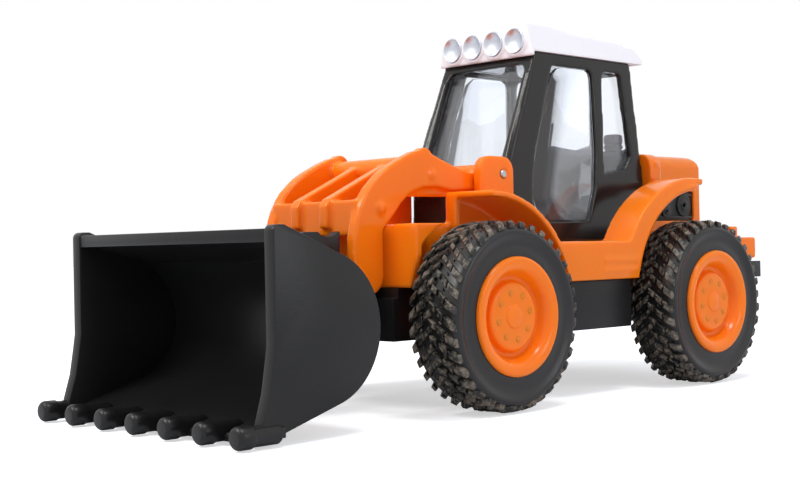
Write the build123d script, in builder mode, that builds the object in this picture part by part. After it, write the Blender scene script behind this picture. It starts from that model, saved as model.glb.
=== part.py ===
from build123d import *
import math
import os

# Toy wheel loader, millimetres. X runs forward to the bucket, Y to the left, Z up.
# The origin lies on the floor under the middle of the whole toy.
# Along the length, stations are measured forward from the front axle.

# ---- driving dimensions: running gear ----
wheelbase = 139.0
nose_reach = 131.0            # front axle to the tooth tips
tail_overhang = 66.5          # rear axle to the back of the tail beam
tyre_radius = 38.0
tyre_width = 24.6
tyre_face = 71.7              # outer sidewall, from the centre plane
tyre_shoulder = 5.0
rim_radius = 23.6
rim_stand = 0.8               # rim edge stands out of the tyre
rim_lip = 2.4
rim_dish = 6.5                # depth of the ring between lip and hub disc
rim_web = 2.5
hub_disc_radius = 13.8
hub_disc_stand = 3.2          # hub disc above the dish
hub_boss_radius = 5.0
hub_cap_radius = 4.6
hub_cap_height = 0.8
wheel_bolt_radius = 1.2
wheel_bolt_height = 0.7
wheel_bolt_circle = 9.3
wheel_bolts = 8
axle_radius = 2.0
axle_cover = 3.0              # rim material over the end of the axle
running_gap = 0.05            # radial clearance of a pin that turns

# ---- chassis ----
wall = 2.4
chassis_bottom = 29.0
chassis_floor = 3.0
body_bottom = 50.0            # parting line of chassis and body
body_half = 35.4
chin_front = 33.0
chin_top = 46.0
belly_front = -50.0
belly_rear_gap = 47.0         # belly's back to the rear axle
belly_half = 57.0
bearing_radius = 5.0
bearing_depth = 8.0
tail_half = 54.0
tail_low = 47.5
tail_high = 55.5
tail_depth = 20.0
screw_radius = 1.5
screw_head_radius = 2.75
screw_head = 1.6
screw_length = 13.0
screw_stations = (14.0, -60.0)
screw_inset = 18.0            # rear screws, from the back of the body
screw_half = 22.0
post_radius = 3.6

# ---- body ----
nose_front = 30.4
nose_top = 75.2
nose_corner = 4.0
deck = 67.0
body_overhang = 45.0          # rear axle to the back of the body
flank_half = 60.0             # outer face of wings and skirts
cheek_half = 46.4             # nose cheeks in front of the wheels
cheek_foot = 42.5             # the same at the parting line
cheek_knee = 62.0
cheek_clear = 39.6            # cheeks clear the tyre by this radius
cheek_wall = 3.0
wing_inner = 33.0
wing_front = 1.0
wing_lip_outer = 39.5         # thick front edge of the wing's web
wing_lip_depth = 3.5
arch_radius = 50.0
rear_wing_radius = 57.8        # outer face of the rear wing, round the rear axle
rear_wing_inner = 44.0
rear_wing_lip = 3.4            # thickness of its tail
rear_arch_radius = 49.0
rear_arch_back = 4.0           # centre of the rear arch, behind and above the axle
rear_arch_rise = 2.8
rear_wing_tail = 7.5          # behind the rear axle
lug_front = -20.4
lug_back = -41.4
lug_top = 104.0
lug_inner = 29.5
lug_outer = 34.0
lug_corner = 6.0

# ---- hood, tail and engine panels ----
hood_gap = 0.6                # cab to hood
hood_half = 33.0
hood_top = 108.4
hood_corner = 6.0
collar_depth = 8.1
collar_stand = 0.6
panel_front_inset = 2.6       # from the front of the hood
panel_back_inset = 5.4        # from the back of the hood
panel_low = 76.3
panel_high = 91.0
panel_sink = 1.0
panel_flange = 1.8
pulley_inset = 14.0           # pulleys, from the back of the hood
pulley_height = 84.0
pulley_radius = 5.6
idler_inset = 29.0
idler_height = 81.0
idler_radius = 3.4
pulley_stand = 0.9
bumper_low = 57.0
bumper_high = 67.5
bumper_depth = 19.0
bumper_corner = 3.0
bumper_lug_top = 73.0
bumper_lug_depth = 6.0
bumper_lug_width = 8.0
air_cleaner_inset = 28.0      # from the back of the hood
air_cleaner_radius = 4.8
air_cleaner_top = 121.0

# ---- cab ----
cab_front = -42.0
cab_knee = 98.0
cab_brow = -63.5
cab_top = 152.5
cab_overhang = 1.8            # rear axle to the back of the cab
cab_back_lean = 6.5
cab_back_knee = 97.0
cab_half_low = 30.4
cab_half_high = 27.7
cab_wall = 3.0
glass_wall = 1.2
screen_half = 23.6
screen_low = 90.0
window_top = 147.0
back_window_low = 111.0
roof_front = -61.0
roof_low = 150.3
roof_high = 165.6
roof_overhang = 9.8
roof_half_low = 29.2
roof_half_high = 25.2
roof_wall = 2.2
lamp_radius = 5.8
lamp_sides = (-19.3, -6.4, 6.4, 19.3)
lamp_height = 157.6
lamp_stand = 2.0
lamp_sink = 0.8
floor_plate = 2.5
console = (-78.0, -64.0)      # back and front of the console on the cab floor
console_top = 84.0
console_half = 16.0
steering_x = -90.0
steering_z = 88.0
steering_radius = 7.5
steering_rim = 1.3
column_radius = 1.6

# ---- loader arms ----
arm_pivot = (-34.6, 96.4)
arm_outer = 28.5
arm_wall = 5.0
arm_rebate = 2.0              # outer layer, cut higher underneath
arm_end_radius = 6.0
arm_sleeve_radius = 5.0
tilt_pivot = (38.5, 55.0)
arm_foot_radius = 7.6
pin_radius = 1.75
pin_cover = 1.5               # arm left over the ends of the bucket pin
pin_stand = 0.4               # pivot pin shows outside the lugs
rib_half = 9.0                # middle of each inner rib
rib_wall = 5.0
bridge_tube = (8.0, 98.6)
bridge_radius = 5.0
front_bar_low = 71.0
front_bar_high = 85.0
front_bar_wall = 5.0

# ---- bucket ----
bucket_half = 64.4
bucket_cheek = 5.0
bucket_shell = 3.0
bucket_front = 114.7
bucket_back = (66.6, 37.0)
bucket_brow = (86.5, 64.8)
bucket_heel = (85.0, 12.2)
bucket_top = 74.5
bucket_lip = (121.5, 1.2)
bucket_bar_low = 68.5
bucket_bar_depth = 5.0
bucket_cheek_step = 34.0      # height where the cheek edge starts to lean forward
tooth_radius = 4.1
tooth_length = 20.0
tooth_chamfer = 1.6
tooth_lift = 0.5              # teeth clear the floor by this much
teeth = 7
tooth_span = 125.0
ear_outer = 22.5
ear_wall = 5.0
horn_reach = 10.1              # stop horns on the ears, from the tilt pivot to their backs
horn_rise = 17.7

rear_axle = -wheelbase
tail_back = rear_axle - tail_overhang
front_axle_x = (-tail_back - nose_reach) / 2
axle_z = tyre_radius
rim_face = tyre_face + rim_stand
belly_back = rear_axle + belly_rear_gap
body_rear = rear_axle - body_overhang
cab_back = rear_axle - cab_overhang
cab_back_top = cab_back + cab_back_lean
hood_front = cab_back - hood_gap

os.makedirs("parts", exist_ok=True)


def side_plane(lateral):
    """Upright plane at one lateral station: x runs forward from the front axle, y is height."""
    return Plane(origin=(front_axle_x, lateral, 0), x_dir=(1, 0, 0), z_dir=(0, -1, 0))


def front_plane(station):
    """Upright plane across the toy at one station, facing forward: x runs left, y is height."""
    return Plane(origin=(front_axle_x + station, 0, 0), x_dir=(0, 1, 0), z_dir=(1, 0, 0))


def floor_plane(height):
    """Level plane at one height: x runs forward from the front axle, y to the left."""
    return Plane(origin=(front_axle_x, 0, height), x_dir=(1, 0, 0), z_dir=(0, 0, 1))


def wheel_plane(station):
    """Level plane through an axle: x is the radius, y the lateral position."""
    return Plane(origin=(front_axle_x + station, 0, axle_z), x_dir=(1, 0, 0), z_dir=(0, 0, 1))


def axle_line(station):
    """Axis of an axle, pointing left."""
    return Axis((front_axle_x + station, 0, axle_z), (0, 1, 0))


def outline(*points):
    """Closed straight-sided face in the sketch that is open."""
    with BuildLine() as border:
        Polyline(*points, close=True)
    make_face(border.edges())


def rectangle(low, high, mode=Mode.ADD):
    """Rectangle between two opposite corners in the sketch that is open."""
    with Locations(((low[0] + high[0]) / 2, (low[1] + high[1]) / 2)):
        Rectangle(high[0] - low[0], high[1] - low[1], mode=mode)


def disc(centre, radius, mode=Mode.ADD):
    """Round face in the sketch that is open."""
    with Locations(centre):
        Circle(radius, mode=mode)


def save(builder, label):
    """Label a finished piece and write it as one STEP file."""
    builder.part.label = label
    export_step(builder.part, f"parts/{label}.step")


# ================= wheels and axles =================

def make_tyre(station, side, label):
    inner = tyre_face - tyre_width
    with BuildPart() as tyre:
        with BuildSketch(wheel_plane(station)):
            rectangle((rim_radius, min(side * inner, side * tyre_face)),
                      (tyre_radius, max(side * inner, side * tyre_face)))
        revolve(axis=axle_line(station))
        treads = tyre.edges().filter_by(GeomType.CIRCLE).group_by(SortBy.RADIUS)[-1]
        fillet(treads, tyre_shoulder)
    save(tyre, label)


def make_rim(station, side, label):
    back = tyre_face - tyre_width
    dish = rim_face - rim_dish
    disc_face = dish + hub_disc_stand
    bore_end = disc_face - axle_cover
    with BuildPart() as rim:
        with BuildSketch(wheel_plane(station)):
            outline(
                (axle_radius, side * back),
                (hub_boss_radius, side * back),
                (hub_boss_radius, side * (dish - rim_web)),
                (rim_radius - rim_lip, side * (dish - rim_web)),
                (rim_radius - rim_lip, side * back),
                (rim_radius, side * back),
                (rim_radius, side * rim_face),
                (rim_radius - rim_lip, side * rim_face),
                (hub_disc_radius + rim_lip, side * dish),
                (hub_disc_radius, side * dish),
                (hub_disc_radius - hub_disc_stand / 4, side * disc_face),
                (0, side * disc_face),
                (0, side * bore_end),
                (axle_radius, side * bore_end),
            )
        revolve(axis=axle_line(station))
        face = Plane(origin=(front_axle_x + station, side * disc_face, axle_z),
                     x_dir=(1, 0, 0), z_dir=(0, side, 0))
        with BuildSketch(face):
            Circle(hub_cap_radius)
        extrude(amount=hub_cap_height)
        with BuildSketch(face):
            with PolarLocations(wheel_bolt_circle, wheel_bolts):
                Circle(wheel_bolt_radius)
        extrude(amount=wheel_bolt_height)
    save(rim, label)


def make_axle(station, label):
    half = rim_face - rim_dish + hub_disc_stand - axle_cover
    with BuildPart() as axle:
        with BuildSketch(side_plane(0)):
            disc((station, axle_z), axle_radius)
        extrude(amount=half, both=True)
    save(axle, label)


for axle_name, axle_station in (("front", 0), ("rear", rear_axle)):
    make_axle(axle_station, f"{axle_name}_axle")
    for side_name, side_sign in (("left", 1), ("right", -1)):
        make_tyre(axle_station, side_sign, f"{axle_name}_{side_name}_tyre")
        make_rim(axle_station, side_sign, f"{axle_name}_{side_name}_rim")


# ================= chassis =================

tub_back = tail_back + tail_depth
post_stations = (*screw_stations, body_rear + screw_inset)
screw_places = [(x, y) for x in post_stations for y in (-screw_half, screw_half)]
floor_top = chassis_bottom + chassis_floor

with BuildPart() as chassis:
    with BuildSketch(side_plane(0)):
        rectangle((tub_back, chassis_bottom), (nose_front, body_bottom))
        rectangle((nose_front - wall, chassis_bottom), (chin_front, chin_top))
    extrude(amount=body_half, both=True)
    with BuildSketch(side_plane(0)):
        rectangle((belly_back, chassis_bottom), (belly_front, body_bottom))
    extrude(amount=belly_half, both=True)
    with BuildSketch(side_plane(0)):
        rectangle((tub_back + wall, floor_top), (nose_front - wall, body_bottom))
    extrude(amount=body_half - wall, both=True, mode=Mode.SUBTRACT)
    with BuildSketch(side_plane(0)):
        rectangle((belly_back + wall, floor_top), (belly_front - wall, body_bottom))
    extrude(amount=belly_half - wall, both=True, mode=Mode.SUBTRACT)
    # bearing bosses on the side walls
    for axle_station in (0, rear_axle):
        for lateral in (body_half, -body_half + bearing_depth):
            with BuildSketch(side_plane(lateral)):
                disc((axle_station, axle_z), bearing_radius)
                rectangle((axle_station - bearing_radius, floor_top - wall / 2),
                          (axle_station + bearing_radius, axle_z))
            extrude(amount=bearing_depth)
    with BuildSketch(side_plane(0)):
        disc((0, axle_z), axle_radius + running_gap)
        disc((rear_axle, axle_z), axle_radius + running_gap)
    extrude(amount=body_half + wall, both=True, mode=Mode.SUBTRACT)
    # tail beam behind the rear wheels
    with BuildSketch(side_plane(0)):
        rectangle((tail_back, tail_low), (tub_back + wall / 2, body_bottom))
        rectangle((tail_back, tail_low), (tub_back - wall / 4, tail_high))
    extrude(amount=tail_half, both=True)
    with BuildSketch(floor_plane(chassis_bottom)):
        with Locations(*screw_places):
            Circle(screw_head_radius)
    extrude(amount=screw_head, mode=Mode.SUBTRACT)
    with BuildSketch(floor_plane(chassis_bottom)):
        with Locations(*screw_places):
            Circle(screw_radius)
    extrude(amount=chassis_floor, mode=Mode.SUBTRACT)
save(chassis, "chassis_frame")

with BuildPart() as screws:
    with BuildSketch(floor_plane(chassis_bottom)):
        with Locations(*screw_places):
            Circle(screw_head_radius)
    extrude(amount=screw_head)
    with BuildSketch(floor_plane(chassis_bottom)):
        with Locations(*screw_places):
            Circle(screw_radius)
    extrude(amount=screw_length)
save(screws, "chassis_screws")


# ================= body shell =================

wing_tip = rear_axle - rear_wing_tail
rear_wing_top = axle_z + rear_wing_radius
rear_arch = (rear_axle - rear_arch_back, axle_z + rear_arch_rise)
skirt_front = -arch_radius * 0.75
skirt_back = rear_arch[0] + rear_arch_radius * 0.8


def front_wing():
    """Front wing outline down to the parting line."""
    top = axle_z + arch_radius
    drop = math.degrees(math.asin((body_bottom - axle_z) / arch_radius))
    with BuildLine() as border:
        Polyline((wing_front, body_bottom), (wing_front, top), (0, top))
        rear = CenterArc((0, axle_z), arch_radius, 90, 90 - drop)
        Line(rear @ 1, (wing_front, body_bottom))
    make_face(border.edges())


def rear_wing(radius, low, back, arch):
    """Rear wing outline: a band round the wheel, above one height and forward of one station."""
    disc((rear_axle, axle_z), radius)
    rectangle((back, low), (rear_axle + radius, axle_z + radius), Mode.INTERSECT)
    disc(rear_arch, arch, Mode.SUBTRACT)


with BuildPart() as body:
    # left half of the centre tunnel, open underneath
    with BuildSketch(side_plane(body_half)) as tunnel:
        rectangle((body_rear, body_bottom), (cab_front + wall, deck))
        rectangle((cab_front, body_bottom), (nose_front, nose_top))
        fillet(tunnel.vertices().sort_by(Axis.X).sort_by(Axis.Y)[-2:].sort_by(Axis.X)[-1], nose_corner)
    extrude(amount=body_half)
    with BuildSketch(side_plane(body_half - wall)):
        rectangle((body_rear + wall, body_bottom), (cab_front + wall, deck - wall))
        rectangle((cab_front + wall, body_bottom), (nose_front - wall, nose_top - wall))
    extrude(amount=body_half - wall, mode=Mode.SUBTRACT)
    # skirt with its ledge, a box open underneath
    with BuildSketch(side_plane(flank_half)):
        rectangle((skirt_back, body_bottom), (skirt_front, deck))
        disc((0, axle_z), arch_radius - wall, Mode.SUBTRACT)
        disc(rear_arch, rear_arch_radius, Mode.SUBTRACT)
    extrude(amount=flank_half - body_half + wall)
    with BuildSketch(side_plane(flank_half - wall)):
        rectangle((skirt_back, body_bottom), (skirt_front, deck - wall))
        disc((0, axle_z), arch_radius, Mode.SUBTRACT)
        disc(rear_arch, rear_arch_radius + wall, Mode.SUBTRACT)
    extrude(amount=flank_half - wall - body_half, mode=Mode.SUBTRACT)
    # nose cheek: block in front of the wheel, drawn in towards its foot
    with BuildSketch(side_plane(cheek_half)):
        rectangle((0, body_bottom), (nose_front, nose_top))
        disc((0, axle_z), cheek_clear, Mode.SUBTRACT)
        rectangle((nose_front - cheek_wall, body_bottom), (nose_front, nose_top))
    extrude(amount=cheek_half - body_half + wall)
    with BuildSketch(front_plane(nose_front + wall)):
        outline((cheek_foot, body_bottom), (cheek_half, cheek_knee), (flank_half, cheek_knee),
                (flank_half, body_bottom))
    extrude(amount=-3 * wall - cheek_wall, mode=Mode.SUBTRACT)
    # front wing: skin, then its inboard web with a thick front edge
    with BuildSketch(side_plane(flank_half)):
        front_wing()
        disc((0, axle_z), arch_radius - wall, Mode.SUBTRACT)
    extrude(amount=flank_half - wing_inner)
    with BuildSketch(side_plane(body_half)):
        front_wing()
    extrude(amount=body_half - wing_inner)
    with BuildSketch(side_plane(wing_lip_outer)):
        rectangle((wing_front - wing_lip_depth, nose_top - wall),
                  (wing_front, axle_z + arch_radius - wall / 2))
    extrude(amount=wing_lip_outer - wing_inner)
    # rear wing: skin, lining and cheek round the wheel, open inboard, its tail tied in to the hood
    with BuildSketch(side_plane(flank_half)):
        rear_wing(rear_wing_radius, deck - wall, wing_tip, rear_arch_radius)
        rectangle((wing_tip, deck - wall), (rear_axle - wall, rear_wing_top - rear_wing_lip), Mode.SUBTRACT)
    extrude(amount=flank_half - rear_wing_inner)
    with BuildSketch(side_plane(flank_half - wall)):
        rear_wing(rear_wing_radius - wall, deck, rear_axle, rear_arch_radius + wall)
    extrude(amount=flank_half - wall - rear_wing_inner, mode=Mode.SUBTRACT)
    with BuildSketch(side_plane(rear_wing_inner + wall)):
        rear_wing(rear_wing_radius, rear_wing_top - rear_wing_lip, wing_tip, rear_arch_radius)
        rectangle((hood_front, deck), (0, rear_wing_top), Mode.SUBTRACT)
    extrude(amount=rear_wing_inner + wall - hood_half)
    # lug that carries the arm pivot
    with BuildSketch(side_plane(lug_outer)) as lug:
        rectangle((lug_back, nose_top - wall), (lug_front, lug_top))
        fillet(lug.vertices().group_by(Axis.Y)[-1], lug_corner)
        disc(arm_pivot, pin_radius, Mode.SUBTRACT)
    extrude(amount=lug_outer - lug_inner)
    # screw posts
    for station in post_stations:
        ceiling = nose_top if station > cab_front else deck
        with BuildSketch(floor_plane(floor_top)):
            disc((station, screw_half), post_radius)
        extrude(amount=ceiling - wall / 2 - floor_top)
        with BuildSketch(floor_plane(floor_top)):
            disc((station, screw_half), screw_radius)
        extrude(amount=screw_length - chassis_floor, mode=Mode.SUBTRACT)
    mirror(about=Plane.XZ)
save(body, "body_shell")


# ================= hood and tail =================

collar_back = hood_front - collar_depth
panel_front = hood_front - panel_front_inset
panel_back = body_rear + panel_back_inset

with BuildPart() as hood:
    with BuildSketch(side_plane(0)):
        rectangle((body_rear, deck), (hood_front, hood_top))
    extrude(amount=hood_half, both=True)
    top_edges = hood.faces().sort_by(Axis.Z)[-1].edges()
    rounded = top_edges.filter_by(Axis.X) + top_edges.sort_by(Axis.X)[:1]
    fillet(rounded, hood_corner)
    with BuildSketch(side_plane(0)):
        rectangle((collar_back, rear_wing_top + collar_stand), (hood_front, hood_top + collar_stand))
    extrude(amount=hood_half + collar_stand, both=True)
    collar_face = hood.faces().sort_by(Axis.Z)[-1]
    fillet(collar_face.edges().filter_by(Axis.X), hood_corner)
    with BuildSketch(side_plane(0)):
        rectangle((body_rear + wall, deck), (hood_front - wall, hood_top - wall))
    extrude(amount=hood_half - wall, both=True, mode=Mode.SUBTRACT)
    with BuildSketch(side_plane(0)):
        rectangle((panel_back, panel_low), (panel_front, panel_high))
    extrude(amount=hood_half + wall, both=True, mode=Mode.SUBTRACT)
save(hood, "engine_hood")

with BuildPart() as stack:
    with BuildSketch(floor_plane(hood_top)):
        disc((body_rear + air_cleaner_inset, 0), air_cleaner_radius)
    extrude(amount=air_cleaner_top - hood_top)
    fillet(stack.edges().sort_by(Axis.Z)[-1], air_cleaner_radius / 4)
save(stack, "air_cleaner")


def make_engine_panel(side, label):
    """Engine panel pushed into the hood's side opening from the inside."""
    face = hood_half - panel_sink
    seat = hood_half - wall
    back = seat - panel_flange
    with BuildPart() as panel:
        with BuildSketch(side_plane(max(side * face, side * seat))):
            rectangle((panel_back, panel_low), (panel_front, panel_high))
        extrude(amount=face - seat)
        with BuildSketch(side_plane(max(side * seat, side * back))):
            rectangle((panel_back - panel_flange, panel_low - panel_flange),
                      (hood_front - wall, panel_high + panel_flange))
        extrude(amount=panel_flange)
        with BuildSketch(side_plane(max(side * face, side * (face + pulley_stand)))):
            disc((body_rear + pulley_inset, pulley_height), pulley_radius)
            disc((body_rear + idler_inset, idler_height), idler_radius)
        extrude(amount=pulley_stand)
    save(panel, label)


make_engine_panel(1, "left_engine_panel")
make_engine_panel(-1, "right_engine_panel")

with BuildPart() as bumper:
    with BuildSketch(side_plane(0)):
        rectangle((body_rear - bumper_depth, bumper_low), (body_rear, bumper_high))
    extrude(amount=tail_half, both=True)
    back_face = bumper.faces().sort_by(Axis.X)[0]
    fillet(back_face.edges(), bumper_corner)
    with BuildSketch(side_plane(tail_half - bumper_corner)):
        rectangle((body_rear - bumper_lug_depth, bumper_high), (body_rear, bumper_lug_top))
    extrude(amount=bumper_lug_width)
    with BuildSketch(side_plane(bumper_corner - tail_half + bumper_lug_width)):
        rectangle((body_rear - bumper_lug_depth, bumper_high), (body_rear, bumper_lug_top))
    extrude(amount=bumper_lug_width)
save(bumper, "rear_bumper")


# ================= cab =================

def cab_solid(inset):
    """Tapered cab block pulled in by inset; the inner ones run on down through the bottom."""
    low = deck if inset == 0 else deck - cab_wall
    front = cab_front - inset
    back = cab_back + inset
    with BuildPart() as block:
        with BuildSketch(side_plane(0)):
            outline(
                (cab_front, deck), (cab_front, cab_knee), (cab_brow, roof_low),
                (cab_brow, cab_top), (cab_back_top, cab_top), (cab_back, cab_back_knee),
                (cab_back, deck),
            )
            offset(amount=-inset, kind=Kind.INTERSECTION)
            rectangle((back, low), (front, cab_back_knee - inset))
        extrude(amount=belly_half, both=True)
        slope = (cab_half_low - cab_half_high) / (cab_top - deck)
        foot = cab_half_low + (deck - low) * slope - inset
        with BuildSketch(front_plane(0)):
            outline((-foot, low), (foot, low),
                    (cab_half_high - inset, cab_top), (inset - cab_half_high, cab_top))
        extrude(amount=tail_back, mode=Mode.INTERSECT)
    return block.part


cab_outer = cab_solid(0)
cab_inner = cab_solid(cab_wall)
glass_inner = cab_solid(cab_wall + glass_wall)

with BuildPart() as cab:
    add(cab_outer)
    add(cab_inner, mode=Mode.SUBTRACT)
    # door and rear side windows, through both sides
    with BuildSketch(side_plane(0)) as door:
        outline(
            (-59.5, 76.3), (-58.5, 88.0), (-60.0, 101.0), (-71.5, 135.0), (-76.0, window_top),
            (-104.6, window_top), (-105.2, 109.4), (-103.3, 92.0), (-97.7, 76.3),
        )
        fillet(door.vertices().group_by(Axis.Y)[-1].sort_by(Axis.X)[0], 4.0)
        fillet(door.vertices().sort_by(Axis.Y)[-1:], 8.0)
    extrude(amount=belly_half, both=True, mode=Mode.SUBTRACT)
    with BuildSketch(side_plane(0)) as quarter:
        outline(
            (-111.0, 98.4), (-112.4, window_top), (cab_back + 14.4, window_top),
            (cab_back + 9.0, 107.0), (cab_back + 13.3, 101.4),
        )
        fillet(quarter.vertices().group_by(Axis.Y)[-1], 3.5)
    extrude(amount=belly_half, both=True, mode=Mode.SUBTRACT)
    # windscreen and back window
    with BuildSketch(front_plane(0)) as screen:
        rectangle((-screen_half, screen_low), (screen_half, window_top))
        fillet(screen.vertices(), 4.0)
    extrude(amount=(cab_front + cab_back) / 2, mode=Mode.SUBTRACT)
    with BuildSketch(front_plane(cab_back - cab_wall)) as back_window:
        rectangle((-screen_half, back_window_low), (screen_half, window_top))
        fillet(back_window.vertices(), 4.0)
    extrude(amount=(cab_front - cab_back) / 2, mode=Mode.SUBTRACT)
save(cab, "cab_frame")

floor_high = deck + floor_plate
with BuildPart() as glass:
    add(cab_inner)
    add(glass_inner, mode=Mode.SUBTRACT)
    with BuildSketch(floor_plane(deck - 2 * cab_wall)):
        rectangle((cab_back, -cab_half_low), (cab_front, cab_half_low))
    extrude(amount=floor_high - deck + 2 * cab_wall, mode=Mode.SUBTRACT)
save(glass, "cab_glazing")

floor_half = cab_half_low - cab_wall - 0.2
column_foot = Vector(front_axle_x + console[1], 0, console_top - 2 * column_radius - 4)
wheel_hub = Vector(front_axle_x + steering_x, 0, steering_z)
column_line = wheel_hub - column_foot
steering_plane = Plane(origin=wheel_hub, z_dir=column_line)

with BuildPart() as cab_floor:
    with BuildSketch(floor_plane(deck)):
        rectangle((cab_back + cab_wall, -floor_half), (cab_front - cab_wall, floor_half))
    extrude(amount=floor_plate)
    with BuildSketch(side_plane(0)):
        outline((console[0], floor_high), (console[1], floor_high), (console[1], console_top),
                (console[0] + 4, console_top), (console[0], console_top - 6))
    extrude(amount=console_half, both=True)
    with BuildSketch(Plane(origin=column_foot, z_dir=column_line)):
        Circle(column_radius)
    extrude(amount=column_line.length, mode=Mode.SUBTRACT)
save(cab_floor, "cab_floor")

with BuildPart() as steering:
    with BuildSketch(steering_plane):
        Circle(column_radius)
    extrude(amount=-column_line.length)
    with BuildSketch(steering_plane.offset(-steering_rim / 2)):
        Circle(steering_radius)
        Circle(steering_radius - 2 * steering_rim, mode=Mode.SUBTRACT)
        with PolarLocations(0, 3):
            Rectangle(steering_radius - steering_rim, steering_rim * 1.5, align=(Align.MIN, Align.CENTER))
    extrude(amount=steering_rim)
save(steering, "steering_wheel")

roof_back = cab_back_top - roof_overhang
roof_slope = roof_back + 17.1
roof_tail = roof_back + 4.6

with BuildPart() as roof:
    with BuildSketch(side_plane(0)) as roof_side:
        outline(
            (roof_front, roof_low), (roof_front, roof_high), (-73.0, roof_high), (-96.0, 162.8),
            (roof_slope, 161.9), (roof_tail, 159.6), (roof_back, 155.0), (roof_back, cab_top),
            (roof_front - roof_wall, cab_top), (roof_front - roof_wall, roof_low),
        )
    extrude(amount=belly_half, both=True)
    with BuildSketch(front_plane(roof_front)) as roof_end:
        outline((-roof_half_low, roof_low), (roof_half_low, roof_low),
                (roof_half_high, roof_high), (-roof_half_high, roof_high))
    extrude(amount=roof_back - roof_front, mode=Mode.INTERSECT)
    with BuildSketch(side_plane(0)):
        outline(
            (roof_front - 2 * roof_wall, cab_top), (roof_front - 2 * roof_wall, roof_high - roof_wall),
            (-73.5, roof_high - roof_wall), (-96.0, 162.8 - roof_wall), (roof_slope, 161.9 - roof_wall),
            (roof_tail + 1, 159.6 - roof_wall), (roof_back + roof_wall, 154.5),
            (roof_back + roof_wall, cab_top),
        )
    extrude(amount=roof_half_high - roof_wall, both=True, mode=Mode.SUBTRACT)
    with BuildSketch(front_plane(roof_front)):
        with Locations(*[(lateral, lamp_height) for lateral in lamp_sides]):
            Circle(lamp_radius)
    extrude(amount=-lamp_sink, mode=Mode.SUBTRACT)
save(roof, "roof")

with BuildPart() as lamps:
    with BuildSketch(front_plane(roof_front - lamp_sink)):
        with Locations(*[(lateral, lamp_height) for lateral in lamp_sides]):
            Circle(lamp_radius)
    extrude(amount=lamp_sink + lamp_stand)
    fillet(lamps.edges().filter_by(GeomType.CIRCLE).group_by(Axis.X)[-1], lamp_stand * 0.8)
save(lamps, "roof_lamps")


# ================= loader arms =================

arm_crown = [
    (arm_pivot[0], arm_pivot[1] + arm_end_radius), (-27.5, 100.0), (-21.3, 96.6), (-13.1, 98.6),
    (-4.1, 101.6), (6.6, 105.6), (12.4, 104.9), (18.2, 102.6), (26.3, 98.7), (31.0, 95.9),
    (35.1, 92.6), (38.2, 89.6), (40.7, 86.3), (43.4, 81.4), (45.4, 75.6), (46.6, 69.0),
    (46.8, 62.0), (tilt_pivot[0] + arm_foot_radius, tilt_pivot[1]),
    (tilt_pivot[0] - arm_foot_radius, tilt_pivot[1]), (tilt_pivot[0] - arm_foot_radius, 73.0), (27.4, 76.4),
]


def arm_side(underside):
    """Cheek of the loader arm: pivot eye, hump, knee and leg, closed by one line underneath."""
    outline(*arm_crown, *underside, (arm_pivot[0], arm_pivot[1] - arm_end_radius))
    disc(arm_pivot, arm_end_radius)
    disc(tilt_pivot, arm_foot_radius)
    disc((6.6, 102.6), 4.0)


with BuildPart() as arm:
    arm_inner = arm_outer - arm_wall
    with BuildSketch(side_plane(arm_outer)):
        arm_side([(24.0, 79.8), (21.0, 83.4), (17.3, 86.4), (14.0, 88.3), (8.0, 90.2), (0.0, 90.6),
                  (-8.0, 89.2)])
    extrude(amount=arm_rebate)
    with BuildSketch(side_plane(arm_outer - arm_rebate)):
        arm_side([(24.0, 79.8), (21.0, 83.4), (17.3, 86.4), (-7.0, 86.6)])
    extrude(amount=arm_wall - arm_rebate)
    # left half of what joins the two cheeks
    with BuildSketch(side_plane(arm_outer - arm_wall / 2)):
        disc(arm_pivot, arm_sleeve_radius)
        disc(bridge_tube, bridge_radius)
        rectangle((tilt_pivot[0], front_bar_low), (tilt_pivot[0] + front_bar_wall, front_bar_high))
    extrude(amount=arm_outer - arm_wall / 2)
    with BuildSketch(side_plane(rib_half + rib_wall / 2)):
        outline(
            (bridge_tube[0], bridge_tube[1] + bridge_radius * 0.8), (44.0, front_bar_high + 0.8),
            (46.0, front_bar_high - 2.0), (46.0, front_bar_low + 3.0), (tilt_pivot[0], front_bar_low + 3.0),
            (bridge_tube[0], bridge_tube[1] - bridge_radius),
        )
    extrude(amount=rib_wall)
    with BuildSketch(side_plane(arm_outer)):
        disc(arm_pivot, pin_radius + running_gap)
    extrude(amount=arm_outer, mode=Mode.SUBTRACT)
    with BuildSketch(side_plane(arm_outer - pin_cover)):
        disc(tilt_pivot, pin_radius)
    extrude(amount=arm_outer - pin_cover, mode=Mode.SUBTRACT)
    mirror(about=Plane.XZ)
save(arm, "loader_arm")


def make_pin(place, half, label):
    """Plain steel pin across the toy."""
    with BuildPart() as pin:
        with BuildSketch(side_plane(0)):
            disc(place, pin_radius)
        extrude(amount=half, both=True)
        chamfer(pin.edges().filter_by(GeomType.CIRCLE), pin_stand)
    save(pin, label)


make_pin(arm_pivot, lug_outer + pin_stand, "arm_pivot_pin")
make_pin(tilt_pivot, arm_outer - pin_cover, "bucket_pivot_pin")


# ================= bucket =================

horn_back = tilt_pivot[0] + horn_reach
horn_top = tilt_pivot[1] + horn_rise

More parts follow.
